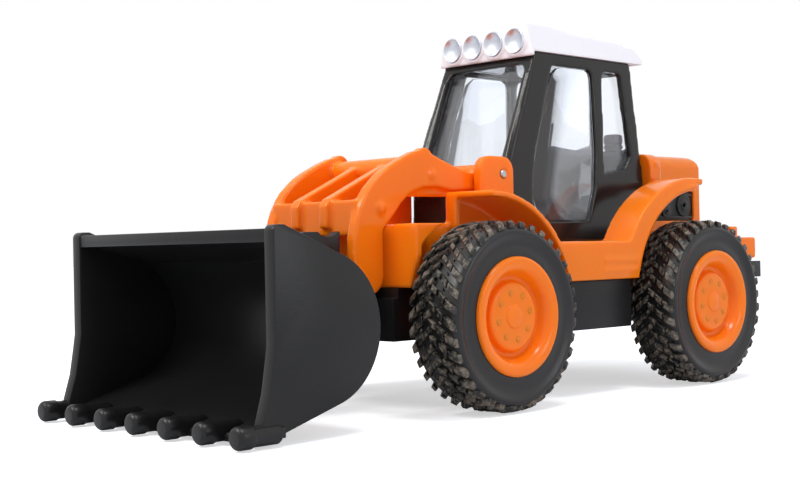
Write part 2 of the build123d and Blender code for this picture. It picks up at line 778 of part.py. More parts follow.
with BuildPart() as bucket:
    with BuildSketch(side_plane(0)):
        with BuildLine():
            ThreePointArc(bucket_brow, bucket_back, bucket_heel)
            Polyline(
                bucket_heel, bucket_lip, (bucket_lip[0], bucket_lip[1] + bucket_shell),
                (bucket_front, bucket_cheek_step), (bucket_front, bucket_top),
                (bucket_front - bucket_bar_depth, bucket_top), bucket_brow,
            )
        make_face()
    extrude(amount=bucket_half, both=True)
    for lateral in (ear_outer, ear_wall - ear_outer):
        with BuildSketch(side_plane(lateral)):
            outline(
                (tilt_pivot[0], tilt_pivot[1] + arm_foot_radius),
                (horn_back, tilt_pivot[1] + arm_foot_radius), (horn_back, horn_top),
                (horn_back + 1.6, horn_top - 0.6), (horn_back + 3.6, horn_top - 1.7),
                (horn_back + 6.6, horn_top - 2.1), (horn_back + 9.3, horn_top - 1.4),
                (horn_back + 11.2, horn_top - 0.1), (horn_back + 17.6, horn_top - 0.1),
                (bucket_brow[0] - 2.0, bucket_brow[1] - 0.4), (bucket_heel[0], bucket_back[1]),
                (bucket_back[0], bucket_back[1]), (tilt_pivot[0], tilt_pivot[1] - arm_foot_radius),
            )
            disc(tilt_pivot, arm_foot_radius)
        extrude(amount=ear_wall)
    with BuildSketch(side_plane(0)):
        with BuildLine():
            ThreePointArc(
                (bucket_brow[0], bucket_brow[1] - bucket_shell),
                (bucket_back[0] + bucket_shell, bucket_back[1]),
                (bucket_heel[0], bucket_heel[1] + bucket_shell),
            )
            Polyline(
                (bucket_heel[0], bucket_heel[1] + bucket_shell),
                (bucket_lip[0], bucket_lip[1] + bucket_shell),
                (bucket_lip[0] + bucket_shell, bucket_lip[1] + bucket_shell),
                (bucket_lip[0] + bucket_shell, bucket_bar_low),
                (bucket_front - bucket_bar_depth, bucket_bar_low),
                (bucket_brow[0], bucket_brow[1] - bucket_shell),
            )
        make_face()
    extrude(amount=bucket_half - bucket_cheek, both=True, mode=Mode.SUBTRACT)
    with BuildSketch(side_plane(0)):
        disc(tilt_pivot, pin_radius + running_gap)
    extrude(amount=arm_outer, both=True, mode=Mode.SUBTRACT)
    tooth_gap = tooth_span / (teeth - 1)
    with BuildSketch(front_plane(nose_reach - tooth_length)):
        with Locations((0, tooth_radius + tooth_lift)):
            with GridLocations(tooth_gap, 0, teeth, 1):
                Circle(tooth_radius)
    extrude(amount=tooth_length)
    tips = bucket.faces().group_by(Axis.X)[-1].edges()
    chamfer(tips, tooth_chamfer)
save(bucket, "bucket")
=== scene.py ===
"""Looks for a toy wheel loader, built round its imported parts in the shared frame."""

import logging
import math
from dataclasses import dataclass, field
from enum import Enum
from functools import lru_cache

import bmesh
import bpy
from mathutils import Matrix, Vector


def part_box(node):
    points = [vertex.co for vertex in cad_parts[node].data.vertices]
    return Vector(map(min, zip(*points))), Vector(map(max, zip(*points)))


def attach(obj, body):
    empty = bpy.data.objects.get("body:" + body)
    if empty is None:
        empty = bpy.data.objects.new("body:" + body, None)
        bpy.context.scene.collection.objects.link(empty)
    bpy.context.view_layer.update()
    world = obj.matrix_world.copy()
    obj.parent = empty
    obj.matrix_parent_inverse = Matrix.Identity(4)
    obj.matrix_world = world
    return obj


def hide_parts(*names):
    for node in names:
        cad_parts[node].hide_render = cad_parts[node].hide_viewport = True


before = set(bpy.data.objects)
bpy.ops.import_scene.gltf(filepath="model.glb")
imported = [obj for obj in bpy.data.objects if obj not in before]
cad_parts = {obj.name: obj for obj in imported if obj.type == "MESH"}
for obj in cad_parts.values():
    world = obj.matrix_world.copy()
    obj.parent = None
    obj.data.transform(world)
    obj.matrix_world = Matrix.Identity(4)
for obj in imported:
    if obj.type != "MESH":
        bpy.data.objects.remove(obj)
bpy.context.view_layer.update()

LOG = logging.getLogger("loader")
MM = 0.001
TURN = 2 * math.pi
FRONT_X = sum(corner.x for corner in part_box("front_axle")) / 2
REAR_STATION = (sum(corner.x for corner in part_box("rear_axle")) / 2 - FRONT_X) / MM

Outline = list[tuple[float, float]]


class Body(Enum):
    """The five groups that move together."""

    CHASSIS = "chassis"
    FRONT_WHEELS = "front_wheels"
    REAR_WHEELS = "rear_wheels"
    ARMS = "loader_arms"
    BUCKET = "bucket"


class Slot(Enum):
    """The material slots a piece can take its finish from."""

    ORANGE = "orange_plastic"
    BLACK = "black_plastic"
    RUBBER = "tyre_rubber"
    STEEL = "pin_steel"
    CLEAR = "window_clear"
    WHITE = "white_plastic"
    LAMP = "lamp_silver"
    TRIM = "trim_plastic"


class Side(Enum):
    """Left and right of the toy, as the sign of the lateral axis."""

    LEFT = 1
    RIGHT = -1


class Along(Enum):
    """Axis that a turned piece is made round."""

    STATION = 0
    LATERAL = 1
    HEIGHT = 2


# ---------------------------------------------------------------- placing


def place(station: float, lateral: float, height: float) -> Vector:
    """Turn workshop millimetres into a point of the shared frame.

    Args:
        station: distance forward of the front axle.
        lateral: distance left of the centre plane.
        height: distance above the floor.

    Returns:
        The point in metres.
    """
    return Vector((FRONT_X + station * MM, lateral * MM, height * MM))


def arc(centre: tuple[float, float], radius: float, start: float, end: float, steps: int) -> Outline:
    """Points along an arc in an upright plane.

    Args:
        centre: station and height of the centre.
        radius: radius in millimetres.
        start: first angle in degrees, 0 pointing forward and 90 up.
        end: last angle in degrees.
        steps: number of chords.

    Returns:
        The points, both ends included.
    """
    angles = [math.radians(start + (end - start) * i / steps) for i in range(steps + 1)]
    return [(centre[0] + radius * math.cos(a), centre[1] + radius * math.sin(a)) for a in angles]


def through(first: tuple[float, float], middle: tuple[float, float], last: tuple[float, float],
            steps: int) -> Outline:
    """Points along the arc through three points of an upright plane.

    Args:
        first: station and height where it starts.
        middle: a point on the way.
        last: where it ends.
        steps: number of chords.

    Returns:
        The points, both ends included.
    """
    (ax, az), (bx, bz), (cx, cz) = first, middle, last
    twice = 2 * (ax * (bz - cz) + bx * (cz - az) + cx * (az - bz))
    a2, b2, c2 = ax * ax + az * az, bx * bx + bz * bz, cx * cx + cz * cz
    centre = ((a2 * (bz - cz) + b2 * (cz - az) + c2 * (az - bz)) / twice,
              (a2 * (cx - bx) + b2 * (ax - cx) + c2 * (bx - ax)) / twice)
    start, way, end = (math.degrees(math.atan2(z - centre[1], x - centre[0]))
                       for x, z in (first, middle, last))
    forward = (way - start) % 360 < (end - start) % 360
    sweep = (end - start) % 360 if forward else -((start - end) % 360)
    return arc(centre, math.dist(first, centre), start, start + sweep, steps)


# ---------------------------------------------------------------- materials


def linear(code: str) -> tuple[float, float, float, float]:
    """Turn an sRGB hex colour into linear light.

    Args:
        code: six hex digits, with or without a leading hash.

    Returns:
        Red, green, blue and an alpha of one.
    """
    digits = code.lstrip("#")
    parts = [int(digits[i:i + 2], 16) / 255 for i in (0, 2, 4)]
    light = [c / 12.92 if c <= 0.04045 else ((c + 0.055) / 1.055) ** 2.4 for c in parts]
    return (*light, 1.0)


def add_node(tree: bpy.types.NodeTree, kind: str, links: dict | None = None,
             **settings: object) -> bpy.types.Node:
    """Add one node with its settings and links.

    Args:
        tree: node tree it goes in.
        kind: node type name.
        links: input name or index to the output socket that feeds it.
        settings: node properties, or input values where the name is an input's.

    Returns:
        The new node.
    """
    made = tree.nodes.new(kind)
    for name, value in settings.items():
        if hasattr(made, name):
            setattr(made, name, value)
        else:
            made.inputs[name.replace("_", " ")].default_value = value
    for name, source in (links or {}).items():
        tree.links.new(source, made.inputs[name])
    return made


def blank(name: str) -> tuple[bpy.types.Material, bpy.types.NodeTree]:
    """Start a material with an empty node tree.

    Args:
        name: the material's name.

    Returns:
        The material and its node tree.
    """
    made = bpy.data.materials.new(name)
    made.use_nodes = True
    made.node_tree.nodes.clear()
    return made, made.node_tree


def show(tree: bpy.types.NodeTree, shader: bpy.types.NodeSocket) -> None:
    """Send a shader to the material output."""
    add_node(tree, "ShaderNodeOutputMaterial", {"Surface": shader})


class Finish:
    """Base of the finishes: each fills in a shader that reads Object coordinates."""

    name: str

    def shader(self, tree: bpy.types.NodeTree, where: bpy.types.NodeSocket) -> bpy.types.NodeSocket:
        """Add the finish's nodes and give the shader's output socket."""
        raise NotImplementedError

    @lru_cache(maxsize=None)
    def material(self) -> bpy.types.Material:
        """Make the material once.

        Returns:
            The finished material.
        """
        made, tree = blank(self.name)
        where = add_node(tree, "ShaderNodeTexCoord").outputs["Object"]
        show(tree, self.shader(tree, where))
        return made


@dataclass(frozen=True)
class MouldedPlastic(Finish):
    """Injection-moulded ABS: even colour with faint flow clouding, gloss broken by the mould's own grain."""

    name: str
    colour: str
    clouded: str
    roughness: float
    gloss_spread: float
    grain_mm: float
    grain_depth_mm: float
    cloud_mm: float = 28.0
    level: float = 0.5
    glow_through_mm: float = 0.0

    def shader(self, tree: bpy.types.NodeTree, where: bpy.types.NodeSocket) -> bpy.types.NodeSocket:
        """Add the finish's nodes.

        Args:
            tree: the material's node tree.
            where: Object coordinates.

        Returns:
            The shader's output socket.
        """
        cloud = add_node(tree, "ShaderNodeTexNoise", {"Vector": where},
                         Scale=1 / (self.cloud_mm * MM), Detail=3.0, Roughness=0.55)
        shade = add_node(tree, "ShaderNodeMix", {"Factor": cloud.outputs["Fac"]}, data_type="RGBA")
        shade.inputs[6].default_value = linear(self.colour)
        shade.inputs[7].default_value = linear(self.clouded)
        grain = add_node(tree, "ShaderNodeTexNoise", {"Vector": where},
                         Scale=1 / (self.grain_mm * MM), Detail=2.0, Roughness=0.6)
        gloss = add_node(tree, "ShaderNodeMapRange", {"Value": cloud.outputs["Fac"]},
                         To_Min=self.roughness - self.gloss_spread,
                         To_Max=self.roughness + self.gloss_spread)
        bump = add_node(tree, "ShaderNodeBump", {"Height": grain.outputs["Fac"]},
                        Strength=1.0, Distance=self.grain_depth_mm * MM)
        skin = add_node(tree, "ShaderNodeBsdfPrincipled",
                        {"Base Color": shade.outputs[2], "Roughness": gloss.outputs["Result"],
                         "Normal": bump.outputs["Normal"]}, Specular_IOR_Level=self.level)
        if self.glow_through_mm:
            # light bleeds a little way through the coloured plastic, red furthest
            skin.inputs["Subsurface Weight"].default_value = 0.45
            skin.inputs["Subsurface Radius"].default_value = (1.0, 0.22, 0.05)
            skin.inputs["Subsurface Scale"].default_value = self.glow_through_mm * MM
        return skin.outputs["BSDF"]


@dataclass(frozen=True)
class SoftRubber(Finish):
    """Soft black PVC rubber: satin, hazy where it catches light, with paler specks of bloom that on the
    tread are partly a painted highlight.
    """

    name: str
    colour: str
    dust_and_highlight: str
    dust_and_highlight_share: float
    roughness: float
    speck_mm: float
    depth_mm: float
    level: float = 0.3

    def shader(self, tree: bpy.types.NodeTree, where: bpy.types.NodeSocket) -> bpy.types.NodeSocket:
        """Add the finish's nodes.

        Args:
            tree: the material's node tree.
            where: Object coordinates.

        Returns:
            The shader's output socket.
        """
        speck = add_node(tree, "ShaderNodeTexNoise", {"Vector": where},
                         Scale=1 / (self.speck_mm * MM), Detail=4.0, Roughness=0.7)
        share = add_node(tree, "ShaderNodeMapRange", {"Value": speck.outputs["Fac"]},
                         From_Min=0.45, From_Max=0.72, To_Max=self.dust_and_highlight_share)
        # paler speck colour mixed in by noise: bloom and dust, and on the tread partly a painted highlight
        shade = add_node(tree, "ShaderNodeMix", {"Factor": share.outputs["Result"]}, data_type="RGBA")
        shade.inputs[6].default_value = linear(self.colour)
        shade.inputs[7].default_value = linear(self.dust_and_highlight)
        dull = add_node(tree, "ShaderNodeMapRange", {"Value": speck.outputs["Fac"]},
                        To_Min=self.roughness - 0.08, To_Max=self.roughness + 0.1)
        bump = add_node(tree, "ShaderNodeBump", {"Height": speck.outputs["Fac"]},
                        Strength=1.0, Distance=self.depth_mm * MM)
        skin = add_node(tree, "ShaderNodeBsdfPrincipled",
                        {"Base Color": shade.outputs[2], "Roughness": dull.outputs["Result"],
                         "Normal": bump.outputs["Normal"]}, Specular_IOR_Level=self.level)
        return skin.outputs["BSDF"]


@dataclass(frozen=True)
class CutSteel(Finish):
    """Drawn mild steel wire, cut to length: bright grey, its drawing lines running across the toy."""

    name: str
    colour: str
    roughness: float
    line_mm: float

    def shader(self, tree: bpy.types.NodeTree, where: bpy.types.NodeSocket) -> bpy.types.NodeSocket:
        """Add the finish's nodes.

        Args:
            tree: the material's node tree.
            where: Object coordinates.

        Returns:
            The shader's output socket.
        """
        squeezed = add_node(tree, "ShaderNodeMapping", {"Vector": where})
        squeezed.inputs["Scale"].default_value = (1.0, 0.08, 1.0)
        lines = add_node(tree, "ShaderNodeTexNoise", {"Vector": squeezed.outputs["Vector"]},
                         Scale=1 / (self.line_mm * MM), Detail=2.0)
        rough = add_node(tree, "ShaderNodeMapRange", {"Value": lines.outputs["Fac"]},
                         To_Min=self.roughness - 0.08, To_Max=self.roughness + 0.12)
        skin = add_node(tree, "ShaderNodeBsdfPrincipled", {"Roughness": rough.outputs["Result"]},
                        Base_Color=linear(self.colour), Metallic=1.0)
        return skin.outputs["BSDF"]


@dataclass(frozen=True)
class ClearMoulding(Finish):
    """Clear polystyrene: glassy, faintly blue through its edges, with slow ripples left by the mould."""

    name: str
    tint: str
    roughness: float
    ripple_mm: float

    def shader(self, tree: bpy.types.NodeTree, where: bpy.types.NodeSocket) -> bpy.types.NodeSocket:
        """Add the finish's nodes.

        Args:
            tree: the material's node tree.
            where: Object coordinates.

        Returns:
            The shader's output socket.
        """
        ripple = add_node(tree, "ShaderNodeTexNoise", {"Vector": where},
                          Scale=1 / (self.ripple_mm * MM), Detail=1.0)
        bump = add_node(tree, "ShaderNodeBump", {"Height": ripple.outputs["Fac"]},
                        Strength=0.3, Distance=0.02 * MM)
        glass = add_node(tree, "ShaderNodeBsdfPrincipled", {"Normal": bump.outputs["Normal"]},
                         Base_Color=linear(self.tint), Roughness=self.roughness, IOR=1.49,
                         Transmission_Weight=0.99, Specular_IOR_Level=0.3)
        clear = add_node(tree, "ShaderNodeBsdfTransparent", Color=linear(self.tint))
        ray = add_node(tree, "ShaderNodeLightPath")
        either = add_node(tree, "ShaderNodeMath", {0: ray.outputs["Is Shadow Ray"],
                                                   1: ray.outputs["Is Diffuse Ray"]}, operation="MAXIMUM")
        mixed = add_node(tree, "ShaderNodeMixShader", {0: either.outputs[0], 1: glass.outputs["BSDF"],
                                                       2: clear.outputs["BSDF"]})
        return mixed.outputs["Shader"]


@dataclass(frozen=True)
class SilveredPlastic(Finish):
    """Vacuum-silvered plastic: a soft bright mirror with a faint orange-peel."""

    name: str
    colour: str
    roughness: float
    peel_mm: float
    peel_depth_mm: float = 0.03

    def shader(self, tree: bpy.types.NodeTree, where: bpy.types.NodeSocket) -> bpy.types.NodeSocket:
        """Add the finish's nodes.

        Args:
            tree: the material's node tree.
            where: Object coordinates.

        Returns:
            The shader's output socket.
        """
        peel = add_node(tree, "ShaderNodeTexNoise", {"Vector": where},
                        Scale=1 / (self.peel_mm * MM), Detail=2.0)
        bump = add_node(tree, "ShaderNodeBump", {"Height": peel.outputs["Fac"]},
                        Strength=1.0, Distance=self.peel_depth_mm * MM)
        skin = add_node(tree, "ShaderNodeBsdfPrincipled", {"Normal": bump.outputs["Normal"]},
                        Base_Color=linear(self.colour), Metallic=1.0, Roughness=self.roughness)
        return skin.outputs["BSDF"]


# glossy orange ABS from a polished mould: even colour, small bright highlights, red where light gets through
ORANGE_ABS = MouldedPlastic("moulded_abs_orange", "#FC8012", "#F9780E", roughness=0.18, gloss_spread=0.03,
                            grain_mm=1.6, grain_depth_mm=0.01, level=0.27, glow_through_mm=6.0)
# black ABS from a spark-eroded mould: satin, with a stipple drawn coarse enough to show
BLACK_ABS = MouldedPlastic("moulded_abs_black", "#161617", "#1B1B1C", roughness=0.34, gloss_spread=0.05,
                           grain_mm=0.9, grain_depth_mm=0.05, level=0.28)
# the cab's black comes from a smoother mould, so it picks up the orange next to it
CAB_ABS = MouldedPlastic("moulded_abs_cab_black", "#1B1A19", "#201F1E", roughness=0.2, gloss_spread=0.03,
                         grain_mm=1.6, grain_depth_mm=0.012, level=0.32)
# dark grey satin ABS of the small trim pieces
TRIM_ABS = MouldedPlastic("moulded_abs_dark_grey", "#2B2D33", "#34363D", roughness=0.4, gloss_spread=0.04,
                          grain_mm=0.9, grain_depth_mm=0.02, level=0.3)
# white ABS: satin-glossy and even, a shade below paper white
WHITE_ABS = MouldedPlastic("moulded_abs_white", "#F1EFF4", "#EDEBF1", roughness=0.28, gloss_spread=0.03,
                           grain_mm=1.8, grain_depth_mm=0.01, level=0.4)
# the smooth sidewall of soft black rubber: a broad hazy sheen
SIDEWALL_RUBBER = SoftRubber("soft_rubber_sidewall", "#161617", "#1E1E20", dust_and_highlight_share=0.5, roughness=0.34,
                             speck_mm=1.9, depth_mm=0.02, level=0.42)
# the tread of the same rubber, with pale brown-grey specks: partly bloom and dust, partly a painted
# highlight for the lit block tops, scattered at random
TREAD_RUBBER = SoftRubber("soft_rubber_tread", "#151412", "#8E8172", dust_and_highlight_share=0.95, roughness=0.36,
                          speck_mm=3.0, depth_mm=0.12, level=0.4)
# drawn wire: bright, with fine lines along the pins and axles
WIRE_STEEL = CutSteel("cut_steel_wire", "#B9BCC0", roughness=0.28, line_mm=0.4)
# clear crystal polystyrene: nearly colourless, with slow ripples
CLEAR_PANEL = ClearMoulding("clear_polystyrene", "#FAFCFF", roughness=0.02, ripple_mm=9.0)
# silvered reflector: soft bright mirror
SILVERED = SilveredPlastic("silvered_plastic", "#D2D6DE", roughness=0.42, peel_mm=0.9)


# ---------------------------------------------------------------- meshes

# metres closer than which two corners are one
MERGE = 1e-6
# degrees: faces nearer to flat than this are one face, and edges past the others stay crisp
FLAT = 0.6
CRISP_EDGED = 40.0
CRISP_FUSED = 70.0
CRISP_COPIED = 35.0


@dataclass
class Stock:
    """Closed shells gathered in one mesh, in metres, before they are fused, edged or left as they are."""

    bm: bmesh.types.BMesh = field(default_factory=bmesh.new)

    def _take(self, part: bmesh.types.BMesh, outward: bool = True) -> "Stock":
        """Add one closed shell.

        Args:
            part: the shell, freed afterwards.
            outward: turn its faces outwards first.

        Returns:
            This stock.
        """
        bmesh.ops.remove_doubles(part, verts=part.verts, dist=MERGE)
        if outward:
            bmesh.ops.recalc_face_normals(part, faces=part.faces)
        mesh = bpy.data.meshes.new("shell")
        part.to_mesh(mesh)
        part.free()
        self.bm.from_mesh(mesh)
        bpy.data.meshes.remove(mesh)
        return self

    def node(self, name: str) -> "Stock":
        """Add a merged copy of a CAD node's mesh.

        Args:
            name: the CAD node.

        Returns:
            This stock.
        """
        part = bmesh.new()
        part.from_mesh(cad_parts[name].data)
        return self._take(part, outward=False)

    def prism(self, outline: Outline, low: float, high: float, lean: float = 0.0,
              foot: float = 0.0) -> "Stock":
        """Add an upright outline given a thickness across the toy.

        Args:
            outline: station and height of each corner, in order.
            low: lateral position of one face.
            high: lateral position of the other face.
            lean: lateral shift for each millimetre of height above foot.
            foot: height where the shift is nothing.

        Returns:
            This stock.
        """
        part = bmesh.new()
        rings = [[part.verts.new(place(x, y + lean * (z - foot), z)) for x, z in outline]
                 for y in (low, high)]
        part.faces.new(rings[0])
        part.faces.new(list(reversed(rings[1])))
        for i in range(len(outline)):
            j = (i + 1) % len(outline)
            part.faces.new((rings[0][i], rings[1][i], rings[1][j], rings[0][j]))
        return self._take(part)

    def turned(self, profile: Outline, centre: tuple[float, float, float], axis: Along,
               steps: int = 96) -> "Stock":
        """Add a closed profile turned round an axis.

        Args:
            profile: radius and position along the axis, round the closed section.
            centre: station, lateral position and height that the profile is measured from.
            axis: the axis.
            steps: facets in a full turn.

        Returns:
            This stock.
        """
        part = bmesh.new()
        origin = place(*centre)
        first, second = {Along.STATION: (1, 2), Along.LATERAL: (2, 0), Along.HEIGHT: (0, 1)}[axis]
        rings = []
        for i in range(steps):
            angle = TURN * i / steps
            ring = []
            for radius, reach in profile:
                point = origin.copy()
                point[first] += radius * math.cos(angle) * MM
                point[second] += radius * math.sin(angle) * MM
                point[axis.value] += reach * MM
                ring.append(part.verts.new(point))
            rings.append(ring)
        for i in range(steps):
            a, b = rings[i], rings[(i + 1) % steps]
            for k in range(len(profile)):
                m = (k + 1) % len(profile)
                part.faces.new((a[k], a[m], b[m], b[k]))
        return self._take(part)

    def rod(self, path: list[Vector], radius: float, sides: int = 10) -> "Stock":
        """Add a round bead along a path.

        Args:
            path: points of the shared frame.
            radius: radius in millimetres.
            sides: facets round the bead.

        Returns:
            This stock.
        """
        part = bmesh.new()
        rings = []
        for i, point in enumerate(path):
            ahead = (path[min(i + 1, len(path) - 1)] - path[max(i - 1, 0)]).normalized()
            across = ahead.cross(Vector((0, 1, 0)))
            across = (across if across.length > 0.1 else ahead.cross(Vector((0, 0, 1)))).normalized()
            other = ahead.cross(across)
            rings.append([part.verts.new(point + (across * math.cos(TURN * k / sides)
                                                  + other * math.sin(TURN * k / sides)) * radius * MM)
                          for k in range(sides)])
        for a, b in zip(rings, rings[1:]):
            for k in range(sides):
                m = (k + 1) % sides
                part.faces.new((a[k], a[m], b[m], b[k]))
        part.faces.new(rings[0])
        part.faces.new(list(reversed(rings[-1])))
        return self._take(part)

    def block(self, corners: list[Vector]) -> "Stock":
        """Add a six-sided block.

        Args:
            corners: four corners round the foot, then the four above them.

        Returns:
            This stock.
        """
        part = bmesh.new()
        v = [part.verts.new(c) for c in corners]
        for loop in ((0, 3, 2, 1), (4, 5, 6, 7), (0, 1, 5, 4), (1, 2, 6, 5), (2, 3, 7, 6), (3, 0, 4, 7)):
            part.faces.new([v[i] for i in loop])
        return self._take(part)

    def _object(self, name: str) -> bpy.types.Object:
        """Turn the gathered shells into an object at the origin."""
        mesh = bpy.data.meshes.new(name)
        self.bm.to_mesh(mesh)
        self.bm.free()
        made = bpy.data.objects.new(name, mesh)
        bpy.context.scene.collection.objects.link(made)
        return made

    def plain(self, name: str, sharp: float = 35.0) -> bpy.types.Object:
        """Finish the shells as they are.

        Args:
            name: the piece's name.
            sharp: angle in degrees past which an edge stays crisp.

        Returns:
            The piece.
        """
        return settle(self._object(name), sharp)

    def edged(self, name: str, width: float, segments: int = 2, angle: float = 28.0) -> bpy.types.Object:
        """Finish the shells with every sharp edge rounded.

        Args:
            name: the piece's name.
            width: width of the rounding in millimetres.
            segments: facets across the rounding.
            angle: edges sharper than this many degrees are rounded.

        Returns:
            The piece.
        """
        bmesh.ops.dissolve_limit(self.bm, angle_limit=math.radians(FLAT),
                                 verts=self.bm.verts, edges=self.bm.edges)
        made = self._object(name)
        rounding = made.modifiers.new("rounding", "BEVEL")
        rounding.width = width * MM
        rounding.segments = segments
        rounding.limit_method = "ANGLE"
        rounding.angle_limit = math.radians(angle)
        rounding.use_clamp_overlap = True
        return settle(baked(made), CRISP_EDGED)

    def fused(self, name: str, voxel: float, passes: int, keep: float = 1.0) -> bpy.types.Object:
        """Finish the shells as one soft-edged moulding, as it leaves the mould.

        Args:
            name: the piece's name.
            voxel: grid size in millimetres.
            passes: smoothing passes, which round the edges.
            keep: share of the faces kept.

        Returns:
            The piece.
        """
        bmesh.ops.triangulate(self.bm, faces=[f for f in self.bm.faces if len(f.verts) > 4])
        made = self._object(name)
        grid = made.modifiers.new("grid", "REMESH")
        grid.mode = "VOXEL"
        grid.voxel_size = voxel * MM
        soften = made.modifiers.new("soften", "SMOOTH")
        soften.factor = 0.5
        soften.iterations = passes
        if keep < 1:
            thin = made.modifiers.new("thin", "DECIMATE")
            thin.ratio = keep
        return settle(baked(made), CRISP_FUSED)


def baked(piece: bpy.types.Object) -> bpy.types.Object:
    """Replace a piece's mesh with its evaluated one and drop the modifiers.

    Args:
        piece: the object.

    Returns:
        The same object.
    """
    bpy.context.view_layer.update()
    graph = bpy.context.evaluated_depsgraph_get()
    mesh = bpy.data.meshes.new_from_object(piece.evaluated_get(graph))
    old = piece.data
    piece.modifiers.clear()
    piece.data = mesh
    bpy.data.meshes.remove(old)
    mesh.name = piece.name
    return piece


def settle(piece: bpy.types.Object, sharp: float) -> bpy.types.Object:
    """Shade a piece smooth with crisp edges past an angle.

    Args:
        piece: the object.
        sharp: the angle in degrees.

    Returns:
        The same object.
    """
    piece.data.shade_smooth()
    piece.data.set_sharp_from_angle(angle=math.radians(sharp))
    return piece


def joined(name: str, pieces: list[bpy.types.Object]) -> bpy.types.Object:
    """Join pieces into one, keeping each one's material.

    Args:
        name: name of the joined piece.
        pieces: what to join; they are used up.

    Returns:
        The joined piece.
    """
    with bpy.context.temp_override(active_object=pieces[0], selected_editable_objects=pieces):
        bpy.ops.object.join()
    pieces[0].name = pieces[0].data.name = name
    return pieces[0]


def dress(piece: bpy.types.Object, finish: Finish | None, body: Body, slot: Slot,
          *nodes: str) -> bpy.types.Object:
    """Give a piece its finish, its body and the CAD nodes it stands for, and report it.

    Args:
        piece: the finished mesh object.
        finish: its finish, or None where the mesh has its materials already.
        body: what it moves with.
        slot: the record's material slot; not used.
        nodes: CAD nodes that it replaces.

    Returns:
        The piece.
    """
    if finish is not None:
        piece.data.materials.clear()
        piece.data.materials.append(finish.material())
    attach(piece, body.value)
    if nodes:
        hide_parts(*nodes)
    triangles = sum(len(p.vertices) - 2 for p in piece.data.polygons)
    LOG.info("%s rides on %s, %d triangles", piece.name, body.value, triangles)
    return piece


def keep_node(name: str, finish: Finish) -> None:
    """Show a CAD node as it is, in a proper finish.

    Args:
        name: the CAD node.
        finish: its finish.
    """
    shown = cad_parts[name]
    for each in shown.material_slots:
        each.material = finish.material()
    if not shown.material_slots:
        shown.data.materials.append(finish.material())
    LOG.info("%s is the CAD part itself", name)


# ---------------------------------------------------------------- repeats, by Geometry Nodes


class Repeat:
    """Base of the node trees that copy the modifier's own geometry many times."""

    label: str = "repeat"

    def __init__(self) -> None:
        """Build the tree once."""
        self.tree = bpy.data.node_groups.new(self.label, "GeometryNodeTree")
        self.tree.interface.new_socket("Geometry", in_out="INPUT", socket_type="NodeSocketGeometry")
        self.tree.interface.new_socket("Geometry", in_out="OUTPUT", socket_type="NodeSocketGeometry")
        for name, kind in self.inputs().items():
            self.tree.interface.new_socket(name, in_out="INPUT", socket_type=kind)
        self.source = self.tree.nodes.new("NodeGroupInput")
        copies = self.copies()
        real = add_node(self.tree, "GeometryNodeRealizeInstances", {"Geometry": copies})
        dyed = add_node(self.tree, "GeometryNodeSetMaterial",
                        {"Geometry": real.outputs["Geometry"], "Material": self.source.outputs["Material"]})
        add_node(self.tree, "NodeGroupOutput", {"Geometry": dyed.outputs["Geometry"]})

    def inputs(self) -> dict[str, str]:
        """Names and socket types of the tree's sizes."""
        raise NotImplementedError

    def copies(self) -> bpy.types.NodeSocket:
        """Output socket that carries the instances."""
        raise NotImplementedError

    def apply(self, piece: bpy.types.Object, **values: object) -> bpy.types.Object:
        """Run the tree on a piece and keep the plain mesh.

        Args:
            piece: the shape to copy, which becomes all the copies.
            values: the tree's inputs by name, with _ for a space.

        Returns:
            The same object with its new mesh.
        """
        stamp = piece.modifiers.new(self.label, "NODES")
        stamp.node_group = self.tree
        for item in self.tree.interface.items_tree:
            key = item.name.replace(" ", "_")
            if item.in_out == "INPUT" and key in values:
                stamp[item.identifier] = values[key]
        return settle(baked(piece), CRISP_COPIED)


class Ring(Repeat):
    """Copies spaced evenly round an axle, each full size or a shade smaller by a seeded chance."""

    label = "ring_of_copies"

    def inputs(self) -> dict[str, str]:
        """Names and socket types of the tree's sizes."""
        return {"Count": "NodeSocketInt", "Centre": "NodeSocketVector", "Phase": "NodeSocketFloat",
                "Least Size": "NodeSocketFloat", "Seed": "NodeSocketInt", "Material": "NodeSocketMaterial"}

    def copies(self) -> bpy.types.NodeSocket:
        """Output socket that carries the instances."""
        given, tree = self.source.outputs, self.tree
        line = add_node(tree, "GeometryNodeMeshLine",
                        {"Count": given["Count"], "Start Location": given["Centre"]})
        line.inputs["Offset"].default_value = (0.0, 0.0, 0.0)
        index = add_node(tree, "GeometryNodeInputIndex")
        pitch = add_node(tree, "ShaderNodeMath", {1: given["Count"]}, operation="DIVIDE")
        pitch.inputs[0].default_value = TURN
        angle = add_node(tree, "ShaderNodeMath",
                         {0: index.outputs[0], 1: pitch.outputs[0], 2: given["Phase"]},
                         operation="MULTIPLY_ADD")
        turn = add_node(tree, "ShaderNodeCombineXYZ", {"Y": angle.outputs[0]})
        size = add_node(tree, "FunctionNodeRandomValue", {"Seed": given["Seed"]}, data_type="FLOAT")
        # the float sockets of a random value are its third and fourth
        size.inputs[3].default_value = 1.0
        tree.links.new(given["Least Size"], size.inputs[2])
        put = add_node(tree, "GeometryNodeInstanceOnPoints",
                       {"Points": line.outputs["Mesh"], "Instance": given["Geometry"],
                        "Rotation": turn.outputs[0], "Scale": size.outputs[1]})
        return put.outputs["Instances"]


class Row(Repeat):
    """Copies spaced evenly along a straight line."""

    label = "row_of_copies"

    def inputs(self) -> dict[str, str]:
        """Names and socket types of the tree's sizes."""
        return {"Count": "NodeSocketInt", "Start": "NodeSocketVector", "Step": "NodeSocketVector",
                "Material": "NodeSocketMaterial"}

    def copies(self) -> bpy.types.NodeSocket:
        """Output socket that carries the instances."""
        given, tree = self.source.outputs, self.tree
        line = add_node(tree, "GeometryNodeMeshLine",
                        {"Count": given["Count"], "Start Location": given["Start"], "Offset": given["Step"]})
        put = add_node(tree, "GeometryNodeInstanceOnPoints",
                       {"Points": line.outputs["Mesh"], "Instance": given["Geometry"]})
        return put.outputs["Instances"]


RING = Ring()
ROW = Row()


